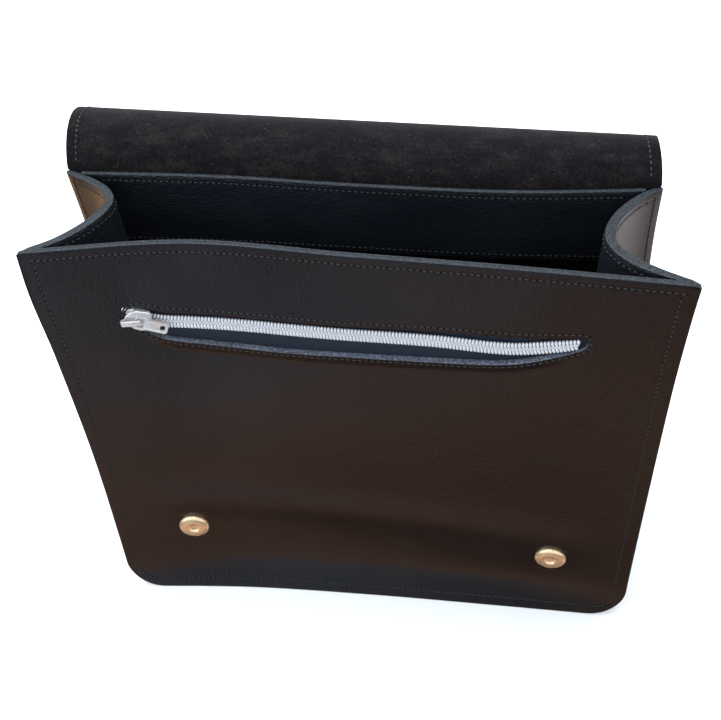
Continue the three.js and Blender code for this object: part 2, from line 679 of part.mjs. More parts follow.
function zipSlider() {
  const group = onFront(slotX(SLIDER_ALONG), slotAt('coil', SLIDER_ALONG), COIL_FRONT + RUNNING_GAP);
  const outline = (sign) => SLIDER_OUTLINE.map((row) => new THREE.Vector2(
    SLIDER_LENGTH * (0.5 - row.along), sign * (SLIDER_WIDTH / 2) * row.half));
  const body = plate(new THREE.Shape([...outline(1), ...outline(-1).reverse()]), SLIDER_PLATE, 0);
  const under = SLIDER_PLATE + PULL_THICKNESS + 2 * BAR_PLAY;
  const top = under + BRIDGE_METAL;
  const [end, nose, foot] = [BRIDGE_START, BRIDGE_START - BRIDGE_LENGTH, SLIDER_PLATE / 2];
  const bevel = BRIDGE_METAL / 2;
  const arch = [
    [end, foot], [end, top - bevel], [end - bevel, top], [nose + bevel, top], [nose, top - bevel], [nose, foot],
    [nose + BRIDGE_METAL, foot], [nose + BRIDGE_METAL, under], [end - BRIDGE_METAL, under],
    [end - BRIDGE_METAL, foot],
  ];
  const bridge = new THREE.ExtrudeGeometry(
    new THREE.Shape(arch.map(([x, height]) => new THREE.Vector2(x, height))),
    { depth: BRIDGE_WIDTH, bevelEnabled: false },
  );
  bridge.translate(0, 0, -BRIDGE_WIDTH / 2);
  bridge.scale(1, -1, 1);
  piece('zip_slider', join(body, outward(welded(bridge))), ZIP_METAL, group);
  zipPull(group);
}

// The pull is turned a little on its bar, so the bar keeps clear of the whole width of the bridge's leg
function zipPull(slider) {
  const turn = THREE.MathUtils.degToRad(PULL_TURN);
  const barRadius = Math.hypot(PULL_BAR, PULL_THICKNESS) / 2;
  const clear = (barRadius + BAR_PLAY / 2) / Math.cos(turn) + (BRIDGE_WIDTH / 2) * Math.tan(turn);
  const hinge = new THREE.Group();
  hinge.position.set(BRIDGE_START - BRIDGE_METAL - clear, -SLIDER_PLATE - BAR_PLAY - PULL_THICKNESS / 2, 0);
  hinge.rotation.set(0, turn, THREE.MathUtils.degToRad(PULL_TILT));
  slider.add(hinge);
  const [bar, eyeEnd] = [PULL_BAR / 2, PULL_BAR / 2 + PULL_EYE_LENGTH];
  const taperEnd = eyeEnd + PULL_EYE_WIDTH - PULL_WIDTH;
  const corner = PULL_WIDTH * 0.2;
  const half = [
    [-bar, PULL_EYE_WIDTH / 2 - bar], [0, PULL_EYE_WIDTH / 2], [eyeEnd, PULL_EYE_WIDTH / 2],
    [taperEnd, PULL_WIDTH / 2], [PULL_LENGTH - corner, PULL_WIDTH / 2],
    [PULL_LENGTH - corner * 0.3, PULL_WIDTH / 2 - corner * 0.3], [PULL_LENGTH, PULL_WIDTH / 2 - corner],
  ];
  const shape = new THREE.Shape([
    ...half.map(([x, z]) => new THREE.Vector2(x, z)),
    ...half.reverse().map(([x, z]) => new THREE.Vector2(x, -z)),
  ]);
  const eyeHalf = PULL_EYE_WIDTH / 2 - PULL_ARM;
  shape.holes.push(roundedRectangle(bar, -eyeHalf, eyeEnd, eyeHalf, PULL_ARM / 4));
  const holeEnd = PULL_LENGTH - PULL_HOLE_RIM;
  shape.holes.push(roundedRectangle(
    holeEnd - PULL_HOLE_LENGTH, -PULL_HOLE_WIDTH / 2, holeEnd, PULL_HOLE_WIDTH / 2, PULL_HOLE_LENGTH / 5));
  piece('zip_pull', plate(shape, PULL_THICKNESS / 2, PULL_THICKNESS / 2), ZIP_METAL, hinge);
}

// Magnetic snaps: caps on the front leather, studs on the suede where the closed flap meets them
function turned(profile, sides) {
  const points = profile.map(([radius, height]) => new THREE.Vector2(radius, height));
  const lathe = new THREE.LatheGeometry(points, sides);
  const merged = welded(lathe);
  const order = [];
  for (let i = 0; i < merged.index.count; i += 3) {
    const [a, b, c] = [0, 1, 2].map((k) => merged.index.getX(i + k));
    if (a !== b && b !== c && c !== a) order.push(a, b, c);
  }
  merged.setIndex(order);
  return outward(merged);
}

function snapCap() {
  const [outer, hole] = [SNAP_DIAMETER / 2, SNAP_HOLE / 2];
  return turned([
    [0, 0], [outer * 0.94, 0], [outer, SNAP_HEIGHT * 0.25], [outer, SNAP_HEIGHT * 0.6], [outer * 0.86, SNAP_HEIGHT],
    [hole * 1.2, SNAP_HEIGHT], [hole, SNAP_HEIGHT * 0.9], [hole * 0.9, SNAP_HEIGHT * 0.4], [0, SNAP_HEIGHT * 0.4],
  ], 16);
}

function snapStud() {
  const [outer, post] = [SNAP_DIAMETER / 2, SNAP_HOLE / 2];
  return turned([
    [0, 0], [outer * 0.94, 0], [outer, STUD_HEIGHT * 0.2], [outer * 0.9, STUD_HEIGHT * 0.5],
    [post * 0.85, STUD_HEIGHT * 0.55], [post * 0.8, STUD_HEIGHT * 0.95], [post * 0.6, STUD_HEIGHT], [0, STUD_HEIGHT],
  ], 16);
}

function snaps() {
  const left = edgeX('back', 'Left', BAG_HEIGHT) - FLAP_DRIFT;
  const right = edgeX('back', 'Right', BAG_HEIGHT) - FLAP_DRIFT;
  const seat = LAYER_GAP + SEAM_ROOM + FLAP_SUEDE + SNAP_SEAT;
  SNAPS.forEach(({ side, across, up }) => {
    const x = BAG_WIDTH * across;
    const cap = snapCap().rotateX(Math.PI);
    piece(`snap_cap_${side}`, cap, SNAP_METAL, onFront(x, BAG_HEIGHT * up, SNAP_SEAT));
    const stud = onFlap((x - left) / (right - left), FLAP_LENGTH - STUD_FROM_FLAP_END, seat);
    piece(`snap_stud_${side}`, snapStud(), SNAP_METAL, stud);
  });
}

frontPanel();
frontLining();
gusset();
backPanel();
flapLining();
backFacing();
zipTape();
zipCoil();
zipSlider();
snaps();

// The origin lies on the floor, in the middle of the bag's length and depth
const bounds = new THREE.Box3().setFromObject(bag);
const middle = bounds.getCenter(new THREE.Vector3());
bag.position.set(-middle.x, -middle.y, -bounds.min.z);

export default bag;
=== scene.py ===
import bpy
from contextlib import contextmanager
from math import atan2, copysign, cos, exp, hypot, pi, radians, sin, sqrt, tan
from mathutils import Matrix, Vector


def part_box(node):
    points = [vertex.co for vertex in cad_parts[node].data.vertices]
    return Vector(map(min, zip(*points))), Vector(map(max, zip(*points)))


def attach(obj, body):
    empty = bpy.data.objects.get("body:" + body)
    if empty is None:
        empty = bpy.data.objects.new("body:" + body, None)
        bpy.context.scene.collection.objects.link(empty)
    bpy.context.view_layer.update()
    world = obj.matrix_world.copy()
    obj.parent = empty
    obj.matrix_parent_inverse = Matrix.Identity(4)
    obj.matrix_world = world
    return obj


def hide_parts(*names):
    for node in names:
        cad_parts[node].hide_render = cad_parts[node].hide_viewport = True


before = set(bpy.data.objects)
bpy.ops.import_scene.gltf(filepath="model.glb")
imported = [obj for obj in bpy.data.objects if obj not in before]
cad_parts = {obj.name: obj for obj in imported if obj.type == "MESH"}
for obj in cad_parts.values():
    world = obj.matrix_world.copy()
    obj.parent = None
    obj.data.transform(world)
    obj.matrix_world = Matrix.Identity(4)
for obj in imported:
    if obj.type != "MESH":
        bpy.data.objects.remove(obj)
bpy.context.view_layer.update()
bpy.ops.object.select_all(action="DESELECT")
print("frame loaded")

# Sizes of the bag in millimetres
bag = {
    "width": 320, "height": 272, "depth": 76, "backWidth": 316, "cornerRadius": 23,
    "leather": 2.2, "frontLining": 1.3, "gussetLeather": 2.4, "gussetLining": 2.2,
    "suede": 1.4, "facing": 1.8, "gap": 0.3, "seamRoom": 0.2, "flange": 8, "skive": 0.72,
    "pocketSlack": 2.6, "facingHeight": 45,
}

# How far each place of the front is pushed in, and of the back pushed out, as shares of the depth
frontShape = {
    "up": [0.0, 0.04, 0.1, 0.22, 0.55, 0.85, 1.0],
    "across": [
        [-0.026, -0.02, -0.013, -0.013, -0.007, 0.013, 0.026],
        [0.046, 0.072, 0.105, 0.112, 0.112, 0.158, 0.178],
        [0.053, 0.079, 0.118, 0.118, 0.092, 0.099, 0.092],
        [0.033, 0.059, 0.092, 0.072, 0.033, 0.013, 0.007],
        [0.007, 0.013, 0.02, 0.007, -0.04, -0.079, -0.099],
    ],
}
backShape = {
    "up": [0.0, 0.1, 0.45, 0.8, 1.0],
    "across": [
        [0.0, 0.005, 0.02, 0.035, 0.04],
        [-0.03, -0.045, 0.03, 0.04, 0.03],
        [-0.04, -0.05, 0.03, 0.0, -0.045],
        [-0.03, -0.045, 0.01, -0.035, -0.085],
        [0.0, 0.0, -0.01, -0.015, -0.02],
    ],
}

# Side edges against a straight upright, as shares of the width, plus is outward
sideEdges = {
    "up": [0.0, 0.45, 0.75, 0.9, 1.0],
    "frontLeft": [-0.004, -0.01, -0.001, 0.009, 0.009],
    "frontRight": [-0.006, -0.002, 0.002, 0.007, 0.012],
    "backLeft": [0.0, -0.004, -0.009, -0.001, 0.006],
    "backRight": [0.0, -0.008, -0.018, -0.02, -0.018],
}

# The folded-in sides: how deep the fold is as a share of the depth, and how it curves
fold = {
    "up": [0.0, 0.1, 0.35, 0.7, 1.0],
    "inward": [0.17, 0.21, 0.34, 0.44, 0.43],
    "crest": {"Left": 0.56, "Bottom": 0.5, "Right": 0.38},
    "backFlange": 2.5, "turnOut": 2.0, "backSeam": 3.6, "frontFollow": 0.45, "backFollow": 0.3,
    "leave": 0.07, "round": 0.2,
}

zipSlot = {
    "height": 222, "length": 234.6, "opening": 21, "endRound": 3.2,
    "along": [0.0, 0.03, 0.09, 0.31, 0.48, 0.68, 0.84, 0.94, 1.0],
    "coil": [0.3, 0.2, 0.04, -0.07, -0.07, -0.02, -0.04, 0.17, 0.36],
    "upperLip": [0.44, 0.545, 0.415, 0.29, 0.30, 0.37, 0.375, 0.465, 0.53],
    "lowerLip": [0.2, -0.16, -0.5, -0.75, -0.72, -0.63, -0.47, -0.1, 0.2],
    "coilWidth": [1.0, 1.0, 1.0, 1.0, 1.0, 1.0, 1.0, 0.95, 0.7],
}


def mix(a, b, share):
    return a + (b - a) * share


def lineOf(count, start, end):
    return [mix(start, end, step / count) for step in range(count + 1)]


def clamp(value, low, high):
    return min(max(value, low), high)


def ease(value, low, high):
    t = clamp((value - low) / (high - low), 0, 1)
    return t * t * (3 - 2 * t)


def smoothThrough(knots, values, place):
    last = len(knots) - 1
    at = clamp(place, knots[0], knots[last])
    left = 0
    while left < last - 1 and knots[left + 1] <= at:
        left += 1

    def slope(index):
        before, after = max(index - 1, 0), min(index + 1, last)
        return (values[after] - values[before]) / (knots[after] - knots[before])

    step = knots[left + 1] - knots[left]
    t = (at - knots[left]) / step
    return ((2 * t**3 - 3 * t**2 + 1) * values[left] + (t**3 - 2 * t**2 + t) * step * slope(left)
            + (3 * t**2 - 2 * t**3) * values[left + 1] + (t**3 - t**2) * step * slope(left + 1))


def shapeAt(shape, across, up):
    values = [smoothThrough(shape["up"], column, up) for column in shape["across"]]
    return smoothThrough([-1, -0.5, 0, 0.5, 1], values, across)


def slotAt(name, along):
    return zipSlot["height"] + zipSlot["opening"] * smoothThrough(zipSlot["along"], zipSlot[name], along)


def slotX(along):
    return zipSlot["length"] * (along - 0.5)


def lipAt(name, x):
    along = clamp(x / zipSlot["length"] + 0.5, 0, 1)
    middle = (slotAt("upperLip", along) + slotAt("lowerLip", along)) / 2
    fromEnd = abs(fromSlotEnd(x))
    closing = clamp(1 - fromEnd / zipSlot["endRound"], 0, 0.995)
    return middle + (slotAt(name, along) - middle) * sqrt(1 - closing * closing)


def frontFace(x, z):
    return bag["depth"] * (shapeAt(frontShape, x / (bag["width"] / 2), z / bag["height"]) - 0.5)


def backFace(x, z):
    return bag["depth"] * (shapeAt(backShape, x / (bag["width"] / 2), z / bag["height"]) + 0.5)


# Small folds that only the front leather has: lips that roll out, a fold above the snaps, a flared foot
folds = {
    "upperLip": 2.0, "upperPower": 1.3, "upperStart": 30, "upperFade": 90, "upperRight": 0.3,
    "lowerLip": 1.3, "lowerStart": 25, "lipReach": 7, "slack": 1.5,
    "ridge": 1.1, "ridgeHeight": 76, "ridgeWidth": 14, "ridgeLean": 0.06, "ridgeEnd": 155, "ridgeStart": 60,
    "foot": 1.1, "footHeight": 15,
}


def fromSlotEnd(x):
    return zipSlot["length"] / 2 - abs(x)


def lipRoll(x, z):
    below = lipAt("lowerLip", x) - z
    if below < -folds["slack"]:
        return 0
    roll = folds["lowerLip"] * (1 - ease(below, 0, folds["lipReach"]))
    return roll * ease(fromSlotEnd(x), 0, folds["lowerStart"])


def frontSkin(x, z):
    out = lipRoll(x, z)
    lip = lipAt("upperLip", x)
    if z > lip - folds["slack"]:
        rise = (1 - clamp((z - lip) / (bag["height"] - lip), 0, 1))**folds["upperPower"]
        fade = mix(1, folds["upperRight"], ease(x, 0, folds["upperFade"]))
        out += folds["upperLip"] * rise * ease(fromSlotEnd(x), 0, folds["upperStart"]) * fade
    ridge = (z - folds["ridgeHeight"] + folds["ridgeLean"] * x) / folds["ridgeWidth"]
    out += folds["ridge"] * exp(-ridge * ridge) * ease(folds["ridgeEnd"] - abs(x), 0, folds["ridgeStart"])
    out += folds["foot"] * (1 - ease(z, 0, folds["footHeight"]))
    return frontFace(x, z) - out


def cornerInset(z, radius):
    below = clamp(radius - z, 0, radius)
    return radius - sqrt(radius * radius - below * below)


def edgeX(panel, side, z):
    width = bag["width"] if panel == "front" else bag["backWidth"]
    lean = bag["width"] * smoothThrough(sideEdges["up"], sideEdges[panel + side], z / bag["height"])
    out = width / 2 + lean - cornerInset(z, bag["cornerRadius"])
    return -out if side == "Left" else out


def edges(panel, z, inset=0):
    return edgeX(panel, "Left", z) + inset, edgeX(panel, "Right", z) - inset


def acrossPanel(panel, share, z):
    return mix(*edges(panel, z), share)


def fromEdges(panel, x, z):
    left, right = edges(panel, z)
    return min(x - left, right - x)


# The CAD model stands on its own origin, so the sizes above are shifted onto its front leather
frontLow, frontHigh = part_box("front_panel")
edgeSteps = lineOf(200, 0, bag["height"])
leftmost = min(edgeX("front", "Left", z) for z in edgeSteps)
rightmost = max(edgeX("front", "Right", z) for z in edgeSteps)
cornerY = frontFace(edgeX("front", "Right", bag["height"]), bag["height"])
middleX = (frontLow[0] + frontHigh[0]) * 500
shift = Vector((middleX - (leftmost + rightmost) / 2, frontLow[1] * 1000 - cornerY, 0))
print("shift", [round(value, 2) for value in shift])


def spot(x, y, z):
    return (Vector((x, y, z)) + shift) * 0.001


# Modelling helpers
@contextmanager
def editing():
    bpy.ops.object.mode_set(mode="EDIT")
    yield bpy.ops.mesh
    bpy.ops.object.mode_set(mode="OBJECT")


def faceOutward():
    with editing() as mesh:
        mesh.select_all(action="SELECT")
        mesh.normals_make_consistent(inside=False)


def selectFaces(piece, wanted):
    with editing() as mesh:
        mesh.select_mode(type="FACE")
        mesh.select_all(action="DESELECT")
    for polygon in piece.data.polygons:
        polygon.select = wanted(polygon)


def deselectAll():
    bpy.ops.object.select_all(action="DESELECT")


def makeActive(piece):
    deselectAll()
    piece.select_set(True)
    bpy.context.view_layer.objects.active = piece


def joinPieces(main, *others):
    makeActive(main)
    for other in others:
        other.select_set(True)
    bpy.ops.object.join()


def smoothShade(piece, degrees):
    makeActive(piece)
    bpy.ops.object.shade_smooth_by_angle(angle=radians(degrees))


# Adds one primitive with its place and size applied, so that every piece stays at the origin
def newPiece(add, name, **settings):
    deselectAll()
    add(**settings)
    piece = bpy.context.object
    piece.name = piece.data.name = name
    bpy.ops.object.transform_apply(location=True, rotation=True, scale=True)
    return piece


def applyModifier(piece, kind, **settings):
    makeActive(piece)
    modifier = piece.modifiers.new(kind.title(), kind)
    for key, value in settings.items():
        setattr(modifier, key, value)
    bpy.ops.object.modifier_apply(modifier=modifier.name)


def soften(piece, millimetres, degrees):
    applyModifier(piece, "BEVEL", width=millimetres * 0.001, segments=3, limit_method="ANGLE",
                  angle_limit=radians(degrees))


def gridSheet(name, columns, rows, place):
    sheet = newPiece(bpy.ops.mesh.primitive_grid_add, name, x_subdivisions=columns, y_subdivisions=rows, size=2)
    cells = []
    for vertex in sheet.data.vertices:
        cell = (round((vertex.co.x + 1) / 2 * columns), round((vertex.co.y + 1) / 2 * rows))
        cells.append(cell)
        vertex.co = place(*cell)
    return sheet, cells


def mark(piece, name, values):
    layer = piece.data.attributes.new(name, "FLOAT", "POINT")
    layer.data.foreach_set("value", values)


def weighted(piece, name, values):
    group = piece.vertex_groups.new(name=name)
    for index, value in enumerate(values):
        group.add([index], value, "REPLACE")


def thicken(piece, materials, millimetres, inward=True, group="", edge=0.5, nearEdge=None):
    near = len(piece.data.vertices)
    for material in materials:
        piece.data.materials.append(material)
    applyModifier(piece, "SOLIDIFY", thickness=millimetres * 0.001, offset=-1 if inward else 1,
                  use_even_offset=True, material_offset_rim=1, vertex_group=group, thickness_vertex_group=0.0)
    uses = {}
    for polygon in piece.data.polygons:
        for key in polygon.edge_keys:
            uses.setdefault(key, set()).add(polygon.material_index)
    weights = piece.data.attributes.new("bevel_weight_edge", "FLOAT", "EDGE")
    for edgeLine in piece.data.edges:
        if len(uses.get(tuple(sorted(edgeLine.vertices)), ())) == 2:
            isNear = max(edgeLine.vertices) < near if inward else min(edgeLine.vertices) >= near
            weights.data[edgeLine.index].value = (edge if nearEdge is None or not isNear else nearEdge) / edge
    applyModifier(piece, "BEVEL", width=edge * 0.001, segments=3, limit_method="WEIGHT",
                  use_clamp_overlap=True)
    smoothShade(piece, 40)


def finishPiece(piece, body, replaces, finish=None):
    if finish:
        piece.data.materials.append(finish)
    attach(piece, body)
    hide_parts(*replaces)


def scatter(name, pattern, places):
    copies = []
    for place in places:
        copy = pattern.copy()
        copy.data = pattern.data.copy()
        copy.data.transform(place)
        bpy.context.collection.objects.link(copy)
        copies.append(copy)
    joinPieces(*copies)
    joined = copies[0]
    joined.name = joined.data.name = name
    return joined


def removePiece(piece):
    bpy.data.objects.remove(piece, do_unlink=True)


# Materials. A socket takes a constant or the output of another node.
def addNode(tree, kind, sockets, **settings):
    node = tree.nodes.new(kind)
    for key, value in settings.items():
        setattr(node, key, value)
    setSockets(tree, node, sockets)
    return node


def setSockets(tree, node, sockets):
    for key, value in sockets.items():
        if isinstance(value, bpy.types.NodeSocket):
            tree.links.new(value, node.inputs[key])
        else:
            node.inputs[key].default_value = value


def newMaterial(name):
    material = bpy.data.materials.new(name)
    material.use_nodes = True
    tree = material.node_tree
    tree.nodes.clear()
    shader = addNode(tree, "ShaderNodeBsdfPrincipled", {})
    addNode(tree, "ShaderNodeOutputMaterial", {"Surface": shader.outputs["BSDF"]})
    return material, tree, shader


def objectPlace(tree, stretch=(1, 1, 1), turn=(0, 0, 0)):
    coordinates = addNode(tree, "ShaderNodeTexCoord", {}).outputs["Object"]
    sockets = {"Vector": coordinates, "Scale": stretch, "Rotation": turn}
    return addNode(tree, "ShaderNodeMapping", sockets).outputs["Vector"]


def noiseNode(tree, place, scale, detail=3, roughness=0.5):
    sockets = {"Vector": place, "Scale": scale, "Detail": detail, "Roughness": roughness}
    return addNode(tree, "ShaderNodeTexNoise", sockets).outputs["Fac"]


def grey(tone):
    return (tone, tone, tone)


def rampNode(tree, value, stops):
    ramp = addNode(tree, "ShaderNodeValToRGB", {"Fac": value})
    elements = ramp.color_ramp.elements
    while len(elements) < len(stops):
        elements.new(0.5)
    for element, (position, colour) in zip(elements, stops):
        element.position = position
        element.color = (*colour, 1)
    return ramp.outputs["Color"]


def rangeNode(tree, value, low, high, newLow, newHigh):
    sockets = {"Value": value, "From Min": low, "From Max": high, "To Min": newLow, "To Max": newHigh}
    return addNode(tree, "ShaderNodeMapRange", sockets).outputs["Result"]


def mathNode(tree, operation, *values):
    return addNode(tree, "ShaderNodeMath", dict(enumerate(values)), operation=operation).outputs["Value"]


def mixColour(tree, share, first, second, blend="MIX"):
    first, second = ((*value, 1) if isinstance(value, tuple) else value for value in (first, second))
    sockets = {"Factor": share, "A": first, "B": second}
    return addNode(tree, "ShaderNodeMix", sockets, data_type="RGBA", blend_type=blend).outputs["Result"]


def bumpNode(tree, height, strength, distance, before=None):
    sockets = {"Height": height, "Strength": strength, "Distance": distance}
    if before is not None:
        sockets["Normal"] = before
    return addNode(tree, "ShaderNodeBump", sockets).outputs["Normal"]


# The attribute holds the distance to the nearest line of stitches in millimetres
def seamGroove(tree):
    seam = addNode(tree, "ShaderNodeAttribute", {}, attribute_name="seam").outputs["Fac"]
    return rangeNode(tree, mathNode(tree, "ABSOLUTE", seam), 0.2, 1.3, 0, 1)


# Each noise is given by its scale, detail and roughness
leatherNoise = {
    "broad": (11, 4, 0.55), "mottle": (260, 5, 0.6), "pores": (1900, 4, 0.65), "creases": (90, 5, 0.6),
    "gloss": (40, 3, 0.5),
}
leatherLooks = {
    "outer": {"dark": (0.0041, 0.0035, 0.0034), "light": (0.0071, 0.0057, 0.0053),
              "roughness": (0.17, 0.24), "grain": 700, "grainDepth": 0.00018, "stretch": (1, 1, 1)},
    "inner": {"dark": (0.0042, 0.0055, 0.0080), "light": (0.0080, 0.0102, 0.0145),
              "roughness": (0.30, 0.42), "grain": 560, "grainDepth": 0.00040, "stretch": (0.5, 1, 1.3)},
}


def leatherMaterial(name, look):
    material, tree, shader = newMaterial(name)
    place = objectPlace(tree, look["stretch"])
    layer = {key: noiseNode(tree, place, *values) for key, values in leatherNoise.items()}
    colour = rampNode(tree, layer["broad"], [(0.3, look["dark"]), (0.7, look["light"])])
    shade = rangeNode(tree, layer["mottle"], 0.3, 0.7, 0.82, 1.14)
    shade = rampNode(tree, shade, [(0, grey(0)), (1, grey(1))])
    colour = mixColour(tree, 1.0, colour, shade, "MULTIPLY")
    drift = addNode(tree, "ShaderNodeTexNoise", {"Vector": place, "Scale": 500}).outputs["Color"]
    small = addNode(tree, "ShaderNodeVectorMath", {0: drift, "Scale": 0.0016}, operation="SCALE")
    wobble = addNode(tree, "ShaderNodeVectorMath", {0: place, 1: small.outputs["Vector"]}, operation="ADD")
    sockets = {"Vector": wobble.outputs["Vector"], "Scale": look["grain"], "Smoothness": 0.35}
    pebbles = addNode(tree, "ShaderNodeTexVoronoi", sockets, feature="SMOOTH_F1").outputs["Distance"]
    height = mathNode(tree, "MULTIPLY", pebbles, -0.9)
    for key, share in (("pores", 0.55), ("creases", 0.5)):
        height = mathNode(tree, "ADD", height, mathNode(tree, "MULTIPLY", layer[key], share))
    groove = seamGroove(tree)
    shadow = rampNode(tree, groove, [(0, grey(0.75)), (0.7, grey(1))])
    setSockets(tree, shader, {
        "Base Color": mixColour(tree, 1.0, colour, shadow, "MULTIPLY"),
        "Normal": bumpNode(tree, groove, 0.25, 0.0003, bumpNode(tree, height, 0.7, look["grainDepth"])),
        "Roughness": rangeNode(tree, layer["gloss"], 0.3, 0.7, *look["roughness"]), "Specular IOR Level": 0.5})
    return material


# A material of one noise: its place in the ramp of colours, its bump and the plain sockets
def plainMaterial(name, texture, stops, bump, sockets):
    material, tree, shader = newMaterial(name)
    fleck = noiseNode(tree, objectPlace(tree), *texture)
    setSockets(tree, shader, {"Base Color": rampNode(tree, fleck, stops), **sockets})
    if bump:
        setSockets(tree, shader, {"Normal": bumpNode(tree, fleck, *bump)})
    return material


def cutEdgeMaterial(name, middle):
    fibres = ((0.42, 0.3), (0.5, 1), (0.6, 3.6))
    stops = [(at, tuple(factor * part for part in middle)) for at, factor in fibres]
    return plainMaterial(name, (1100, 6, 0.75), stops, (0.6, 0.0003),
                         {"Roughness": 0.68, "Specular IOR Level": 0.25})


suedeLook = {
    "clouds": [(0.36, (0.0022, 0.0018, 0.0024)), (0.50, (0.0040, 0.0034, 0.0040)),
               (0.66, (0.0092, 0.0078, 0.0080))],
    "nap": [(0.36, grey(0.25)), (0.64, grey(2.1))], "speck": (0.22, 0.20, 0.19), "speckScale": 420,
}


def suedeMaterial():
    material, tree, shader = newMaterial("suede")
    place = objectPlace(tree)
    clouds = noiseNode(tree, objectPlace(tree, (0.55, 1, 1)), 95, 8, 0.76)
    nap = noiseNode(tree, place, 850, 6, 0.75)
    colour = rampNode(tree, clouds, suedeLook["clouds"])
    colour = mixColour(tree, 1.0, colour, rampNode(tree, nap, suedeLook["nap"]), "MULTIPLY")
    specks = addNode(tree, "ShaderNodeTexVoronoi", {"Vector": place, "Scale": suedeLook["speckScale"]})
    speck = rangeNode(tree, specks.outputs["Distance"], 0.04, 0.09, 1, 0)
    rare = rangeNode(tree, noiseNode(tree, place, 150, 2), 0.44, 0.56, 0, 0.6)
    colour = mixColour(tree, mathNode(tree, "MULTIPLY", speck, rare), colour, suedeLook["speck"])
    setSockets(tree, shader, {
        "Base Color": colour, "Normal": bumpNode(tree, nap, 0.7, 0.0005), "Roughness": 0.95,
        "Specular IOR Level": 0.08, "Sheen Weight": 0.07, "Sheen Roughness": 0.4})
    return material


def tapeMaterial():
    material, tree, shader = newMaterial("zipTape")
    turned = objectPlace(tree, (1, 1, 1), (0, radians(35), 0))
    weave = addNode(tree, "ShaderNodeTexWave", {"Vector": turned, "Scale": 260, "Distortion": 0.6},
                    wave_type="BANDS", bands_direction="X").outputs["Fac"]
    colour = rampNode(tree, weave, [(0.2, (0.0030, 0.0048, 0.009)), (0.8, (0.018, 0.025, 0.040))])
    setSockets(tree, shader, {"Base Color": colour, "Normal": bumpNode(tree, weave, 0.6, 0.0003),
                              "Roughness": 0.8, "Specular IOR Level": 0.2})
    return material


metalLooks = {
    "coil": {"colour": (0.56, 0.57, 0.60), "metallic": 0.2, "roughness": (0.3, 0.42), "scratch": 900},
    "slider": {"colour": (0.61, 0.60, 0.59), "metallic": 0.55, "roughness": (0.22, 0.28), "scratch": 700},
    "snap": {"colour": (0.87, 0.62, 0.38), "metallic": 0.8, "roughness": (0.24, 0.32), "scratch": 600},
}


def metalMaterial(name, look):
    material, tree, shader = newMaterial(name)
    cloud = noiseNode(tree, objectPlace(tree), look["scratch"], 5, 0.6)
    dull = tuple(0.9 * part for part in look["colour"])
    setSockets(tree, shader, {
        "Base Color": rampNode(tree, cloud, [(0.3, dull), (0.7, look["colour"])]),
        "Roughness": rangeNode(tree, cloud, 0.3, 0.7, *look["roughness"]),
        "Normal": bumpNode(tree, cloud, 0.05, 0.0001), "Metallic": look["metallic"]})
    return material


outerLeather = leatherMaterial("outerLeather", leatherLooks["outer"])
innerLeather = leatherMaterial("innerLeather", leatherLooks["inner"])
cutEdge = cutEdgeMaterial("cutEdge", (0.0098, 0.0126, 0.0158))
# Cut edge with painted light: a lighter copy for the zip slot's lips, which lie in shade
paintedLightLipEdge = cutEdgeMaterial("paintedLightLipEdge", (0.064, 0.074, 0.096))
suede = suedeMaterial()
tapeCloth = tapeMaterial()
coilFinish = metalMaterial("coilFinish", metalLooks["coil"])
sliderMetal = metalMaterial("sliderMetal", metalLooks["slider"])
snapMetal = metalMaterial("snapMetal", metalLooks["snap"])
thread = plainMaterial("thread", (2600, 3), [(0.3, (0.0095, 0.0095, 0.0105)), (0.7, (0.029, 0.029, 0.032))],
                       (0.5, 0.0002), {"Roughness": 0.6})
# Painted shade: near-black discs that stand for the shadow inside the needle holes
needleHoleShade = plainMaterial("needleHoleShade", (1800, 2), [(0.3, (0.0012, 0.0012, 0.0013)), (0.7, grey(0.003))], None,
                           {"Roughness": 0.95, "Specular IOR Level": 0.1})
print("materials made")


# Front leather: a sheet whose rows follow the two lips of the zip slot, which is cut out of it
frontLook = {
    "sideSeam": 7.5, "topSeam": 5.0, "bottomSeam": 7.0, "upperSeam": 2.6, "lowerSeam": 2.0, "endSeam": 1.5,
    "columns": (22, 8, 100, 8, 22), "endColumns": 4,
    "rows": (10, 74, 3, 18),  # corners, below the slot, slot, above the slot
}


def frontColumns():
    left, right = edges("front", zipSlot["height"])
    near = frontLook["endColumns"]
    places = (left, slotX(0), slotX(0) + near, slotX(1) - near, slotX(1), right)
    stops = [(x - left) / (right - left) for x in places]
    shares = [0]
    for part, count in enumerate(frontLook["columns"]):
        shares += [mix(stops[part], stops[part + 1], (step + 1) / count) for step in range(count)]
    return shares


def frontRow(j, x):
    corner, lower, slot, upper = frontLook["rows"]
    radius, lowerLip, upperLip = bag["cornerRadius"], lipAt("lowerLip", x), lipAt("upperLip", x)
    if j <= corner:
        return radius * (1 - cos(pi / 2 * j / corner))
    if j <= corner + lower:
        share = (j - corner) / lower  # closer rows near the lip
        return mix(radius, lowerLip, share + 0.15 * sin(pi * share))
    if j <= corner + lower + slot:
        return mix(lowerLip, upperLip, (j - corner - lower) / slot)
    return mix(upperLip, bag["height"], (j - corner - lower - slot) / upper)


# The top corners are trimmed round
def trimmed(z, fromEdge, drop=1.4, reach=4):
    return z - drop * clamp(1 - fromEdge / reach, 0, 1)**2 * ease(z, bag["height"] - 12, bag["height"])


def panelSeam(panel, x, z, side, top, bottom):
    radius = bag["cornerRadius"]
    out = fromEdges(panel, x, max(z, radius))
    if z < radius and out < radius:
        return radius - hypot(radius - out, radius - z) - side
    return min(out - side, z - bottom, bag["height"] - z - top)


def slotSeam(x, z):
    beyond = max(-fromSlotEnd(x), 0)
    above, below = z - lipAt("upperLip", x), lipAt("lowerLip", x) - z
    offset = frontLook["upperSeam"] if above > below else frontLook["lowerSeam"]
    offset = mix(offset, frontLook["endSeam"], clamp(beyond / frontLook["endSeam"], 0, 1))
    return hypot(beyond, max(above, below, 0)) - offset


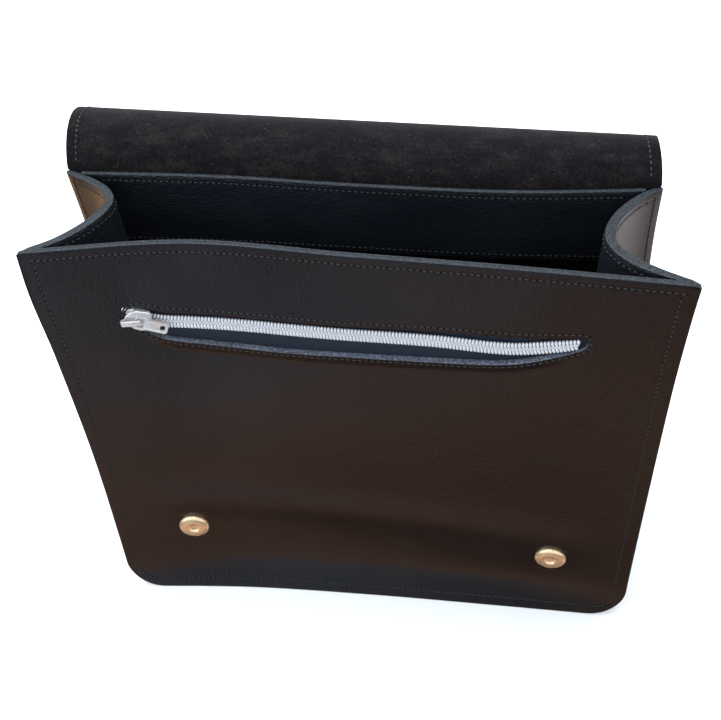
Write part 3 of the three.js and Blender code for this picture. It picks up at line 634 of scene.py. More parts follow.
def outlineSeam(x, z):
    return panelSeam("front", x, z, frontLook["sideSeam"], frontLook["topSeam"], frontLook["bottomSeam"])


def frontSeam(x, z):
    outline, slot = outlineSeam(x, z), slotSeam(x, z)
    return slot if abs(slot) < abs(outline) and abs(slot) < 8 else outline


def makeFrontLeather():
    shares = frontColumns()
    columns = sum(frontLook["columns"])
    rows = sum(frontLook["rows"])
    flat = {}

    def place(i, j):
        z = frontRow(j, acrossPanel("front", shares[i], zipSlot["height"]))
        x = acrossPanel("front", shares[i], z)
        z = trimmed(z, fromEdges("front", x, z))
        flat[(i, j)] = (x, z)
        return spot(x, frontSkin(x, z), z)

    sheet, cells = gridSheet("frontLeather", columns, rows, place)
    mark(sheet, "seam", [frontSeam(*flat[cell]) for cell in cells])
    thickest = bag["leather"] + folds["lowerLip"]
    weighted(sheet, "full", [(bag["leather"] + lipRoll(*flat[cell])) / thickest for cell in cells])
    firstColumn, lastColumn = frontLook["columns"][0], columns - frontLook["columns"][0]
    firstRow, lastRow = sum(frontLook["rows"][:2]), sum(frontLook["rows"][:3])

    def inSlot(polygon):
        corners = [cells[index] for index in polygon.vertices]
        return all(firstColumn <= i <= lastColumn and firstRow <= j <= lastRow for i, j in corners)

    selectFaces(sheet, inSlot)
    with editing() as mesh:
        mesh.delete(type="FACE")
    thicken(sheet, [outerLeather, cutEdge, paintedLightLipEdge], thickest, group="full", edge=0.5, nearEdge=0.8)
    slotHeight, reach = zipSlot["height"] * 0.001, zipSlot["opening"] * 0.001
    for polygon in sheet.data.polygons:  # the lips of the slot get painted light: a lighter copy of the cut edge that makes up for the shade in the slot
        x, _, z = polygon.center
        if polygon.material_index == 1 and abs(x) < bag["width"] * 0.0004 and abs(z - slotHeight) < reach:
            polygon.material_index = 2
    finishPiece(sheet, "bag", ["front_panel"])


makeFrontLeather()
print("front leather made")


# Lining behind the front, slack enough for a flat pocket
def pocketSlack(x, z):
    fromSide = ease(bag["width"] / 2 - abs(x), 2 * bag["flange"], 4 * bag["flange"])
    fromTop = ease(1 - z / bag["height"], 0, 0.1)
    fromFloor = ease(z / bag["height"], 0.1, 0.3)
    return bag["pocketSlack"] * fromSide * fromTop * fromFloor


def liningFace(x, z):
    return frontFace(x, z) + bag["leather"] + bag["gap"] * 0.5 + pocketSlack(x, z)


def plainRow(j, corner, rows):
    radius = bag["cornerRadius"]
    if j <= corner:
        return radius * (1 - cos(pi / 2 * j / corner))
    return mix(radius, bag["height"], (j - corner) / (rows - corner))


def makeFrontLining():
    columns, corner, rows = 80, 8, 60
    flat = {}

    def place(i, j):
        z = plainRow(j, corner, rows)
        x = acrossPanel("front", i / columns, z)
        z = trimmed(z, fromEdges("front", x, z))
        flat[(i, j)] = (x, z)
        return spot(x, liningFace(x, z), z)

    sheet, cells = gridSheet("frontLining", columns, rows, place)
    mark(sheet, "seam", [outlineSeam(*flat[cell]) for cell in cells])
    thicken(sheet, [innerLeather, cutEdge], bag["frontLining"], edge=0.35)
    finishPiece(sheet, "bag", ["front_lining"])


makeFrontLining()


# The folded strip of the sides and the bottom, in two layers
strip = {
    "sideRows": 46, "arcRows": 8, "bottomRows": 40, "foldSteps": 11, "topSeam": 4.2, "sewnTight": 0.2,
    "backPress": 0.75, "turnShare": 0.45,
}


def cubic(a, b, c, d, t):
    return a * (1 - t)**3 + b * 3 * t * (1 - t)**2 + c * 3 * t**2 * (1 - t) + d * t**3


# How thick a layer of the strip is at a place across it: both edges are skived
def layerDepth(thickness, i, last):
    return (thickness + bag["gap"] / 2) * mix(bag["skive"], 1, ease(min(i, last - i), 1, 8))


def foldLine(station):
    inwardX, inwardZ = cos(station["turn"]), sin(station["turn"])
    if station["side"] == "Bottom":
        frontX, backX = (acrossPanel(panel, station["share"], 0) for panel in ("front", "back"))
    else:
        frontX, backX = (edgeX(panel, station["side"], station["z"]) for panel in ("front", "back"))
    skived = layerDepth(bag["gussetLining"], 0, 9)
    backStack = bag["leather"] + skived * strip["backPress"] - strip["sewnTight"]
    frontStack = bag["leather"] + bag["frontLining"] + bag["gap"] / 2 + skived - strip["sewnTight"]

    def frontY(inward):
        return frontFace(frontX + inwardX * inward, station["z"] + inwardZ * inward) + frontStack

    def backY(inward):
        return backFace(backX + inwardX * inward, station["z"] + inwardZ * inward) - backStack

    deep = bag["depth"] * smoothThrough(fold["up"], fold["inward"], station["z"] / bag["height"])
    flange, backFlange = bag["flange"], fold["backFlange"]
    startY, endY = frontY(flange), backY(backFlange)
    crestY = mix(startY, endY, fold["crest"][station["side"]])
    gapWidth = endY - startY

    def half(start, flangeY, follow, away):
        handles = [Vector((start, flangeY)),
                   Vector((start + (deep - start) * follow, flangeY + away * gapWidth * fold["leave"])),
                   Vector((deep, crestY - away * gapWidth * fold["round"])), Vector((deep, crestY))]
        return [cubic(*handles, step / strip["foldSteps"]) for step in range(strip["foldSteps"] + 1)]

    frontHalf = half(flange, startY, fold["frontFollow"], 1)
    backHalf = half(backFlange, endY - fold["turnOut"], fold["backFollow"], -1)
    line = [Vector((0, frontY(0))), Vector((flange / 2, frontY(flange / 2)))] + frontHalf
    turned = backY(backFlange / 2) - fold["turnOut"] * strip["turnShare"]
    line += backHalf[::-1][1:] + [Vector((backFlange / 2, turned)), Vector((0, backY(0)))]
    return dict(station, line=line, frontX=frontX, backX=backX, inwardX=inwardX, inwardZ=inwardZ)


def stripStations():
    radius, side, arc, bottom = bag["cornerRadius"], strip["sideRows"], strip["arcRows"], strip["bottomRows"]
    left = [{"side": "Left", "z": z, "turn": 0} for z in lineOf(side, bag["height"], radius)]
    for step in range(1, arc + 1):
        turn = pi / 2 * step / arc
        left.append({"side": "Left", "z": radius * (1 - sin(turn)), "turn": turn})
    floorTurn = {"side": "Bottom", "z": 0, "turn": pi / 2}
    floor = [dict(floorTurn, share=step / bottom) for step in range(1, bottom)]
    right = [dict(station, side="Right", turn=pi - station["turn"]) for station in left[::-1]]
    return left + floor + right


def layerShift(line, i, distance):
    last = len(line) - 1

    def normal(start, end):
        along = (line[end] - line[start]).normalized()
        return Vector((along.y, -along.x))

    if i == 0 or i == last:
        flange = normal(0, 1) if i == 0 else normal(last - 1, last)
        return Vector((0, copysign(distance, flange.y * distance)))
    before, after = normal(i - 1, i), normal(i, i + 1)
    return (before + after) * (distance / (1 + before.dot(after)))


def stripPoint(bend, i, distance):
    last = len(bend["line"]) - 1
    moved = bend["line"][i] + layerShift(bend["line"], i, distance)
    x = mix(bend["frontX"], bend["backX"], ease(i / last, 0.15, 0.85))
    height = trimmed(bend["z"], moved.x, 3.4, 10) if i < last / 2 else bend["z"]
    return (x + bend["inwardX"] * moved.x, moved.y, height + bend["inwardZ"] * moved.x)


def makeStripLayer(name, direction, thickness, materials, node):
    bends = [foldLine(station) for station in stripStations()]
    columns, rows = len(bends[0]["line"]) - 1, len(bends) - 1
    start = direction * 0.02

    def place(i, j):
        return spot(*stripPoint(bends[j], i, start))

    sheet, cells = gridSheet(name, columns, rows, place)
    full = thickness + bag["gap"] / 2
    seamTop = bag["height"] - strip["topSeam"]
    mark(sheet, "seam", [seamTop - bends[j]["z"] if bends[j]["turn"] in (0, pi) else 9 for i, j in cells])
    weighted(sheet, "full", [layerDepth(thickness, i, columns) / full for i, j in cells])
    faceOutward()
    crest = min(sheet.data.polygons, key=lambda polygon: abs(polygon.center.z - 0.15))
    toward = spot(0, 0, bag["height"] * 0.55) - crest.center
    facesInside = crest.normal.dot(Vector((toward.x, 0, 0))) > 0
    if facesInside != (direction > 0):
        with editing() as mesh:
            mesh.flip_normals()
    thicken(sheet, materials, full, inward=False, group="full", edge=0.7, nearEdge=0)
    finishPiece(sheet, "bag", [node])


makeStripLayer("gussetLeather", -1, bag["gussetLeather"], [outerLeather, cutEdge], "gusset")
makeStripLayer("gussetLining", 1, bag["gussetLining"], [innerLeather, cutEdge], "gusset_lining")
print("folded sides made")


# Back leather, which runs on over the top as the flap
flap = {
    "length": 312, "bendRadius": 25.5, "rightShare": 0.72, "lean": 17, "hang": 176, "drift": 1.8,
    "cornerRadius": 24, "sideSeam": 5.5, "plainTop": 12, "bendRows": 36, "hangRows": 30, "endRows": 9,
    "backRows": 50, "columns": 90,
}
flapRows = flap["bendRows"] + flap["hangRows"] + flap["endRows"]


def bendAt(share):
    lean = radians(flap["lean"])
    radius = flap["bendRadius"] * mix(1, flap["rightShare"], share)
    sweep = radians(flap["hang"]) - lean
    return lean, radius, sweep, radius * sweep


def flapPlace(share, along):
    lean, radius, sweep, length = bendAt(share)
    angle = lean + min(along / length, 1) * sweep
    straight = max(along - length, 0)
    back = radius * (cos(lean) - cos(angle)) + straight * sin(angle)
    up = radius * (sin(angle) - sin(lean)) + straight * cos(angle)
    return back, up, angle, ease(along / length, 0, 0.6)


def flapPoint(share, along, distance):
    back, up, angle, settled = flapPlace(share, max(along, 0))
    inset = cornerInset(flap["length"] - along, flap["cornerRadius"])
    left, right = edges("back", bag["height"])
    x = mix(left + inset, right - inset, share) - flap["drift"] * settled
    leftY, rootY, rightY = (backFace(across, bag["height"]) for across in (left, x, right))
    rootY = mix(rootY, mix(leftY, rightY, (x - left) / (right - left)), settled)
    y = rootY - bag["leather"] + back - distance * cos(angle)
    return (x, y, bag["height"] + up + distance * sin(angle))


def flapAlong(step, share):
    length = bendAt(share)[3]
    roundStart = flap["length"] - flap["cornerRadius"]
    if step <= flap["bendRows"]:
        return length * step / flap["bendRows"]
    step -= flap["bendRows"]
    if step <= flap["hangRows"]:
        return mix(length, roundStart, step / flap["hangRows"])
    step -= flap["hangRows"]
    return roundStart + flap["cornerRadius"] * sin(pi / 2 * step / flap["endRows"])


def flapSeam(share, along):
    left, right = edges("back", bag["height"])
    fromSide, fromEnd = min(share, 1 - share) * (right - left), flap["length"] - along
    radius = flap["cornerRadius"]
    if fromSide < radius and fromEnd < radius:
        return radius - hypot(radius - fromSide, radius - fromEnd) - flap["sideSeam"]
    return min(fromSide, fromEnd) - flap["sideSeam"]


def makeBackLeather():
    columns, corner, rows = flap["columns"], 8, flap["backRows"]
    seams = {}

    def place(i, j):
        share = 1 - i / columns
        if j > rows:
            along = flapAlong(j - rows, share)
            seams[(i, j)] = flapSeam(share, along)
            return spot(*flapPoint(share, along, -bag["leather"]))
        z = plainRow(j, corner, rows)
        x = acrossPanel("back", share, z)
        seams[(i, j)] = panelSeam("back", x, z, fold["backSeam"], flap["plainTop"], fold["backSeam"])
        return spot(x, backFace(x, z), z)

    sheet, cells = gridSheet("backLeather", columns, rows + flapRows, place)
    mark(sheet, "seam", [seams[cell] for cell in cells])
    thicken(sheet, [outerLeather, cutEdge], bag["leather"], edge=0.5)
    finishPiece(sheet, "bag", ["back_panel"])


def facingInset():
    return bag["flange"] + bag["gussetLining"] + bag["gussetLeather"] + bag["facing"] + bag["suede"]


def makeFlapSuede():
    hemRows, columns = 6, flap["columns"]
    hem = bag["facingHeight"] * 0.8
    away = bag["gap"] + bag["seamRoom"]

    def place(i, j):
        share = i / columns
        if j > hemRows:
            return spot(*flapPoint(share, max(flapAlong(j - hemRows - 1, share), 0.6), away))
        z = bag["height"] - hem * (1 - j / (hemRows + 1))
        x = mix(*edges("back", z, facingInset()), share)
        return spot(x, backFace(x, z) - bag["leather"] - away, z)

    sheet, _ = gridSheet("flapSuede", columns, hemRows + flapRows + 1, place)
    thicken(sheet, [suede, cutEdge], bag["suede"], inward=False, edge=0.35)
    finishPiece(sheet, "bag", ["flap_lining"])


facing = {"topSeam": 4, "bottomSeam": 3, "wider": 8, "thicker": 1.1, "columns": 80, "rows": 14}


def makeBackFacing():
    near = bag["leather"] + bag["suede"] + 2 * bag["gap"] + bag["seamRoom"] - facing["thicker"]
    flat = {}

    def place(i, j):
        z = bag["height"] - bag["facingHeight"] * (1 - j / facing["rows"])
        x = mix(*edges("back", z, facingInset() - facing["wider"]), i / facing["columns"])
        flat[(i, j)] = (x, z)
        return spot(x, backFace(x, z) - near, z)

    sheet, cells = gridSheet("backFacing", facing["columns"], facing["rows"], place)
    seams = []
    for cell in cells:
        fromTop = bag["height"] - flat[cell][1]
        top, bottom = fromTop - facing["topSeam"], bag["facingHeight"] - fromTop - facing["bottomSeam"]
        seams.append(min(top, bottom, key=abs))
    mark(sheet, "seam", seams)
    thicken(sheet, [innerLeather, cutEdge], bag["facing"] + facing["thicker"], inward=False, edge=0.5)
    finishPiece(sheet, "bag", ["back_facing"])


makeBackLeather()
makeFlapSuede()
makeBackFacing()
print("back, flap and facing made")


# Zip tape and coil
zipLook = {
    "tapeThickness": 0.6, "tapeMargin": 6, "coilThickness": 2.5, "pitch": 1.76,
    "start": 0.02, "end": 0.985, "slider": 0.026, "sliderX": -112.77,
    "bar": (0.84, 1.15, 1.75), "barOut": 2.3, "barTilt": 9,
    "head": (0.44, 1.08, 1.1), "headOut": 0.12, "headTilt": 20, "openBars": 5,
}


def makeZipTape():
    columns, rows = 120, 8
    reach = zipSlot["length"] + 2 * zipLook["tapeMargin"]

    def place(i, j):
        x = reach * (i / columns - 0.5)
        along = clamp(x / zipSlot["length"] + 0.5, 0, 1)
        margin = zipLook["tapeMargin"]
        z = mix(slotAt("lowerLip", along) - margin, slotAt("upperLip", along) + margin, j / rows)
        return spot(x, frontFace(x, z) + bag["leather"] + bag["gap"], z)

    sheet, _ = gridSheet("zipTape", columns, rows, place)
    thicken(sheet, [tapeCloth, tapeCloth], zipLook["tapeThickness"], edge=0.15)
    finishPiece(sheet, "bag", ["zip_tape"])


def onFront(x, z, lift):
    step = 2
    along = Vector((2 * step, frontFace(x + step, z) - frontFace(x - step, z), 0)).normalized()
    up = Vector((0, frontFace(x, z + step) - frontFace(x, z - step), 2 * step))
    into = up.cross(along).normalized()
    place = spot(x, frontFace(x, z), z) - into * lift * 0.001
    return Matrix.Translation(place) @ Matrix((along, into, along.cross(into))).transposed().to_4x4()


def coilPart(halfX, halfY, halfZ):
    part = newPiece(bpy.ops.mesh.primitive_uv_sphere_add, "coilPart", segments=8, ring_count=6, radius=1)
    for vertex in part.data.vertices:
        x, y, z = vertex.co
        vertex.co = Vector((copysign(abs(x)**0.8, x) * halfX, y * halfY,
                            copysign(abs(z)**0.75, z) * halfZ)) * 0.001
    return part


def coilPlace(along, across, tilt=0):
    width = smoothThrough(zipSlot["along"], zipSlot["coilWidth"], along)
    ahead = slotAt("coil", min(along + 0.01, 1)) - slotAt("coil", max(along - 0.01, 0))
    turn = atan2(ahead, 0.02 * zipSlot["length"])
    lift = zipLook["coilThickness"] / 2 - bag["leather"]
    return (onFront(slotX(along), slotAt("coil", along) + across * width, lift)
            @ Matrix.Rotation(-turn + radians(tilt), 4, "Y") @ Matrix.Diagonal((1, 1, width, 1)))


# Each loop of the coil is a bar at the edge, and the heads of both rows meet along the middle
def makeZipCoil():
    bar, head = coilPart(*zipLook["bar"]), coilPart(*zipLook["head"])
    count = round(zipSlot["length"] * (zipLook["end"] - zipLook["start"]) / zipLook["pitch"])
    bars, heads = [], []
    for number in range(count):
        for row in (-1, 1):
            along = mix(zipLook["start"], zipLook["end"], (number + 0.25 + row * 0.25) / count)
            bars.append(coilPlace(along, row * zipLook["barOut"], row * zipLook["barTilt"]))
            heads.append(coilPlace(along, -row * zipLook["headOut"], row * zipLook["headTilt"]))
    for number in range(zipLook["openBars"]):  # the open ends that reach past the slider
        bars.append(coilPlace(zipLook["start"] - 0.006 * number, 3.6 + 0.3 * number, 30))
    coil = scatter("zipCoil", bar, bars)
    middle = scatter("coilHeads", head, heads)
    stop = newPiece(bpy.ops.mesh.primitive_uv_sphere_add, "coilStop", segments=16, ring_count=10, radius=0.0009)
    stop.data.transform(onFront(slotX(0) + 0.6, slotAt("upperLip", 0) - 1.6, -1.2))
    joinPieces(coil, middle, stop)
    removePiece(bar)
    removePiece(head)
    bpy.ops.object.shade_smooth()
    finishPiece(coil, "bag", ["zip_coil"], coilFinish)


makeZipTape()
makeZipCoil()
print("zip tape and coil made")


# Slider and pull. A flat outline is filled, pushed up to its thickness, pierced and softened.
slider = {
    "plate": 1.4, "bridgeWidth": 3.2, "bridgeMetal": 1.1, "bridgeLength": 10.5,
    "bridgeStart": 3.3, "lift": 0.35, "barPlay": 0.4,
    "outline": [(8.9, 3.5), (8.4, 4.4), (6.6, 4.7), (4.6, 5.1), (2.4, 5.7), (0.4, 5.75), (-1.6, 5.1),
                (-3.6, 3.7), (-4.8, 2.6), (-5.2, 1.6)],
    "wallDepth": 2.6, "wallMetal": 1.2,
}
pull = {
    "length": 17, "width": 7, "eyeWidth": 8.8, "eyeLength": 3.75, "arm": 1.5, "thickness": 1.1, "bar": 1.3,
    "holeLength": 2.6, "holeWidth": 3.6, "rim": 1.5, "turn": 22, "tilt": 1.5,
}


def outlinePlate(name, outline, low, high):
    plate = newPiece(bpy.ops.mesh.primitive_circle_add, name, vertices=len(outline), radius=1, fill_type="NGON")
    for vertex, (x, z) in zip(plate.data.vertices, outline):
        vertex.co = Vector((x, low, z)) * 0.001
    with editing() as mesh:
        mesh.select_all(action="SELECT")
        mesh.extrude_region_move(TRANSFORM_OT_translate={"value": (0, (high - low) * 0.001, 0)})
    faceOutward()
    return plate


def mirrored(half):
    return half + [(x, -z) for x, z in half[::-1]]


def pierce(piece, x0, x1, width, radius):
    tool = newPiece(bpy.ops.mesh.primitive_cube_add, "tool", size=1, location=((x0 + x1) * 0.0005, 0, 0),
                    scale=((x1 - x0) * 0.001, 0.03, width * 0.001))
    weights = tool.data.attributes.new("bevel_weight_edge", "FLOAT", "EDGE")
    for edge in tool.data.edges:
        a, b = (tool.data.vertices[index].co for index in edge.vertices)
        weights.data[edge.index].value = abs(a.y - b.y) > 0.01
    applyModifier(tool, "BEVEL", width=radius * 0.001, segments=4, limit_method="WEIGHT")
    applyModifier(piece, "BOOLEAN", operation="DIFFERENCE", object=tool, solver="EXACT")
    removePiece(tool)


def makeSlider():
    half = slider["outline"]
    body = outlinePlate("zipSlider", mirrored(half), -slider["plate"], 0)
    soften(body, 0.45, 50)
    under = slider["plate"] + pull["thickness"] + 2 * slider["barPlay"]
    top = under + slider["bridgeMetal"]
    end, nose = slider["bridgeStart"], slider["bridgeStart"] - slider["bridgeLength"]
    foot, metal = slider["plate"] / 2, slider["bridgeMetal"]
    arch = [(end, foot), (end, top - 0.9), (end - 0.35, top - 0.25), (end - 1.0, top), (nose + 1.3, top),
            (nose + 0.5, top - 0.25), (nose + 0.1, top - 0.8), (nose, top - 1.6), (nose + 0.4, top - 2.5),
            (nose + 2.1, foot), (nose + 3.3, foot), (nose + 1.7, under - 0.9), (nose + 1.5, under - 0.3),
            (nose + 1.9, under), (end - metal, under), (end - metal, foot)]
    bridge = outlinePlate("bridge", arch, -slider["bridgeWidth"] / 2, slider["bridgeWidth"] / 2)
    bridge.data.transform(Matrix(((1, 0, 0, 0), (0, 0, -1, 0), (0, 1, 0, 0), (0, 0, 0, 1))))
    soften(bridge, 0.3, 40)
    line = [(x, z - 0.1) for x, z in half[1:-2]]
    wallLine = line + [(x, z - slider["wallMetal"]) for x, z in line[::-1]]
    walls = []
    for side in (-1, 1):
        wall = outlinePlate("wall", [(x, side * z) for x, z in wallLine], -0.6, slider["wallDepth"])
        for vertex in wall.data.vertices:  # the walls run out toward the closed coil
            if vertex.co.y > 0:
                vertex.co.y *= mix(1, 0.25, ease(vertex.co.x * 1000, 2.5, 9))
        soften(wall, 0.3, 40)
        walls.append(wall)
    joinPieces(body, bridge, *walls)
    sliderPlace = onFront(zipLook["sliderX"], slotAt("coil", zipLook["slider"]),
                          zipLook["coilThickness"] - bag["leather"] + slider["lift"])
    body.data.transform(sliderPlace)
    smoothShade(body, 35)
    finishPiece(body, "bag", ["zip_slider"], sliderMetal)
    return sliderPlace


def makePull(sliderPlace):
    turn = radians(pull["turn"])
    barRadius = hypot(pull["bar"], pull["thickness"]) / 2
    clear = (barRadius + slider["barPlay"] / 2) / cos(turn) + slider["bridgeWidth"] / 2 * tan(turn)
    bar, eyeEnd = pull["bar"] / 2, pull["bar"] / 2 + pull["eyeLength"]
    taperEnd = eyeEnd + pull["eyeWidth"] - pull["width"]
    corner, wide, slim = pull["width"] * 0.2, pull["eyeWidth"] / 2, pull["width"] / 2
    half = [(-bar, wide - 1.0), (-bar * 0.6, wide - 0.35), (0.1, wide), (eyeEnd, wide), (taperEnd, slim),
            (pull["length"] - corner, slim), (pull["length"] - corner * 0.3, slim - corner * 0.3),
            (pull["length"], slim - corner)]
    plate = outlinePlate("zipPull", mirrored(half), -pull["thickness"] / 2, pull["thickness"] / 2)
    selectFaces(plate, lambda polygon: polygon.normal.y < -0.9)
    with editing() as mesh:  # the outer face is sunk a little inside its rim
        mesh.inset(thickness=0.00085, depth=0)
        mesh.inset(thickness=0.0002, depth=-0.0002)
    pierce(plate, bar, eyeEnd, pull["eyeWidth"] - 2 * pull["arm"], 0.7)
    holeEnd = pull["length"] - pull["rim"]
    pierce(plate, holeEnd - pull["holeLength"], holeEnd, pull["holeWidth"], 0.8)
    soften(plate, 0.28, 35)
    eyeX = slider["bridgeStart"] - slider["bridgeMetal"] - clear
    eyeY = slider["plate"] + slider["barPlay"] + pull["thickness"] / 2
    hinge = Matrix.Translation(Vector((eyeX, -eyeY, 0)) * 0.001)
    turned = Matrix.Rotation(turn, 4, "Y") @ Matrix.Rotation(radians(pull["tilt"]), 4, "Z")
    plate.data.transform(sliderPlace @ hinge @ turned)
    smoothShade(plate, 35)
    finishPiece(plate, "pull", ["zip_pull"], sliderMetal)


makePull(makeSlider())
print("slider and pull made")


# Magnetic snaps, turned from half profiles given as shares of a radius and of the height
snap = {
    "diameter": 18.5, "height": 3, "hole": 6, "studHeight": 4, "seat": 0.35, "fromFlapEnd": 19,
    "capRim": [(0, 0), (0.95, 0), (1, 0.12), (1, 0.42), (0.97, 0.62), (0.9, 0.82), (0.8, 0.93), (0.6, 1)],
    "capHole": [(1.35, 1.0), (1.15, 0.97), (1.02, 0.86), (0.92, 0.66), (0.6, 0.55), (0, 0.52)],
    "studRim": [(0, 0), (0.95, 0), (1, 0.1), (1, 0.3), (0.95, 0.42), (0.85, 0.5)],
    "studKnob": [(1.1, 0.55), (0.86, 0.62), (0.8, 0.9), (0.66, 0.98), (0.4, 1), (0, 1)],
    "places": {"left": (-0.34, 0.2155), "right": (0.3465, 0.187)},
}


def turnedPiece(name, profile):
    piece = newPiece(bpy.ops.mesh.primitive_circle_add, name, vertices=len(profile), radius=1)
    for vertex, (radius, height) in zip(piece.data.vertices, profile):
        vertex.co = Vector((radius, 0, height)) * 0.001
    with editing() as mesh:
        mesh.select_all(action="SELECT")
        mesh.spin(steps=64, angle=2 * pi, center=(0, 0, 0), axis=(0, 0, 1))
        mesh.select_all(action="SELECT")
        mesh.remove_doubles(threshold=0.00002)
    faceOutward()
    smoothShade(piece, 30)
    return piece


def makeSnaps():
    outer, hole, high = snap["diameter"] / 2, snap["hole"] / 2, snap["height"]
    cap = [(outer * out, high * up) for out, up in snap["capRim"]]
    cap += [(hole * out, high * up) for out, up in snap["capHole"]]
    stud = [(outer * out, snap["studHeight"] * up) for out, up in snap["studRim"]]
    stud += [(hole * out, snap["studHeight"] * up) for out, up in snap["studKnob"]]
    left, right = (x - flap["drift"] for x in edges("back", bag["height"]))
    seat = bag["gap"] + bag["seamRoom"] + bag["suede"] + snap["seat"]
    for side, (across, up) in snap["places"].items():
        x = bag["width"] * across
        piece = turnedPiece(f"snapCap_{side}", cap)
        piece.data.transform(onFront(x, bag["height"] * up, 0.1) @ Matrix.Rotation(pi / 2, 4, "X"))
        finishPiece(piece, "bag", [f"snap_cap_{side}"], snapMetal)
        share, along, step = (x - left) / (right - left), flap["length"] - snap["fromFlapEnd"], 2
        sideStep = step / bag["backWidth"]
        ends = [Vector(flapPoint(share + way * sideStep, along, seat)) for way in (-1, 1)]
        acrossWay = (ends[1] - ends[0]).normalized()
        ends = [Vector(flapPoint(share, along + way * step, seat)) for way in (-1, 1)]
        out = acrossWay.cross(ends[1] - ends[0]).normalized()
        piece = turnedPiece(f"snapStud_{side}", stud)
        turned = Matrix((acrossWay, out.cross(acrossWay), out)).transposed().to_4x4()
        point = flapPoint(share, along, seat - 0.25)
        piece.data.transform(Matrix.Translation(spot(*point)) @ turned)
        finishPiece(piece, "bag", [f"snap_stud_{side}"], snapMetal)


makeSnaps()
print("snaps made")


# Stitches: one modelled stitch with its needle hole, a near-black disc of painted shade, copied along each seam
stitchLook = {"pitch": 3.2, "length": 2.4, "width": 0.7, "height": 0.5, "hole": 0.56, "corner": 10}


def makeStitchPattern():
    stitch = newPiece(bpy.ops.mesh.primitive_uv_sphere_add, "stitch", segments=6, ring_count=6, radius=1,
                      rotation=(0, pi / 2, 0))
    for vertex in stitch.data.vertices:  # the ends dip into the leather
        x, y, z = vertex.co
        dip = abs(x)**3 * 0.25
        vertex.co = Vector((x * stitchLook["length"] / 2, y * stitchLook["width"] / 2,
                            z * stitchLook["height"] / 2 + 0.1 - dip)) * 0.001
    stitch.data.materials.append(thread)
    hole = newPiece(bpy.ops.mesh.primitive_circle_add, "hole", vertices=7, radius=stitchLook["hole"] * 0.001,
                    fill_type="NGON", location=(stitchLook["pitch"] * 0.0005, 0, 0.00008))
    with editing() as mesh:
        mesh.select_all(action="SELECT")
        mesh.extrude_region_move(TRANSFORM_OT_translate={"value": (0, 0, -0.0002)})
    faceOutward()
    hole.data.materials.append(needleHoleShade)
    joinPieces(stitch, hole)
    return stitch


def seamPlaces(path):
    lengths = [0]
    for (before, _), (after, _) in zip(path, path[1:]):
        lengths.append(lengths[-1] + (after - before).length)
    count = max(round(lengths[-1] * 1000 / stitchLook["pitch"]), 1)
    places, k = [], 0
    for number in range(count):
        at = (number + 0.5) * lengths[-1] / count
        while lengths[k + 1] < at:
            k += 1
        share = (at - lengths[k]) / (lengths[k + 1] - lengths[k])
        along = (path[k + 1][0] - path[k][0]).normalized()
        normal = path[k][1].lerp(path[k + 1][1], share)
        normal = (normal - along * normal.dot(along)).normalized()
        turned = Matrix((along, normal.cross(along), normal)).transposed().to_4x4()
        places.append(Matrix.Translation(path[k][0].lerp(path[k + 1][0], share)) @ turned)
    return places


def faceSpot(face, out, step, x, z, lift=0):
    slopeX, slopeZ = face(x + step, z) - face(x - step, z), face(x, z + step) - face(x, z - step)
    normal = Vector((-slopeX, 2 * step, -slopeZ)).normalized() * out
    return spot(x, face(x, z) + lift, z), normal


def frontSpot(x, z):
    return faceSpot(frontSkin, -1, 0.5, x, z)


def backSpot(x, z, lift=0, out=1):
    return faceSpot(backFace, out, 1, x, z, lift)


# A seam down one side, round both corners and up the other side. Way is the sign of its run down.
def hemPath(spotAt, sideAt, start, turn, way, radius, centres, steps):
    arc = [pi / 2 * step / 8 for step in range(1, 9)]
    down = lineOf(steps, start, turn)
    path = [spotAt(sideAt("Left", at), at) for at in down]
    path += [spotAt(centres[0] - radius * cos(angle), turn + way * radius * sin(angle)) for angle in arc]
    path += [spotAt(across, turn + way * radius) for across in lineOf(60, *centres)[1:]]
    path += [spotAt(centres[1] + radius * sin(angle), turn + way * radius * cos(angle)) for angle in arc]
    return path + [spotAt(sideAt("Right", at), at) for at in down[-2::-1]]


def outlinePath(panel, spotAt, side, top, bottom):
    def sideAt(which, z):
        return edges(panel, max(z, bag["cornerRadius"]), side)[which == "Right"]

    corner = stitchLook["corner"]
    centres = edges(panel, bag["cornerRadius"], side + corner)
    return hemPath(spotAt, sideAt, bag["height"] - top, bottom + corner, -1, corner, centres, 60)


def slotEnd(side, middleX):
    top, bottom = slotSeamAt("upperLip", 0.5 + side / 2), slotSeamAt("lowerLip", 0.5 + side / 2)
    middle, half = (top + bottom) / 2, (top - bottom) / 2
    reach = abs(slotX(0.5 + side / 2) - middleX) + frontLook["endSeam"]
    turns = [pi / 8 * step for step in range(1, 8)]
    return [frontSpot(middleX + side * reach * sin(turn), middle + half * cos(turn)) for turn in turns]


def slotSeamAt(lip, along):
    return slotAt(lip, along) + (frontLook["upperSeam"] if lip == "upperLip" else -frontLook["lowerSeam"])


def frontSeams():
    side, top, bottom = (frontLook[key] for key in ("sideSeam", "topSeam", "bottomSeam"))
    paths = [outlinePath("front", frontSpot, side, top + 3, bottom)]
    z = bag["height"] - top
    paths.append([frontSpot(x, z) for x in lineOf(120, *edges("front", z, side - 2))])
    first, last = slotX(0) + 2.5, slotX(1) - 2.5
    line = [(x, x / zipSlot["length"] + 0.5) for x in lineOf(120, first, last)]
    upper = [frontSpot(x, slotSeamAt("upperLip", along)) for x, along in line]
    lower = [frontSpot(x, slotSeamAt("lowerLip", along)) for x, along in line]
    paths.append(upper + slotEnd(1, last) + lower[::-1] + slotEnd(-1, first)[::-1] + upper[:1])
    return [place for path in paths for place in seamPlaces(path)]


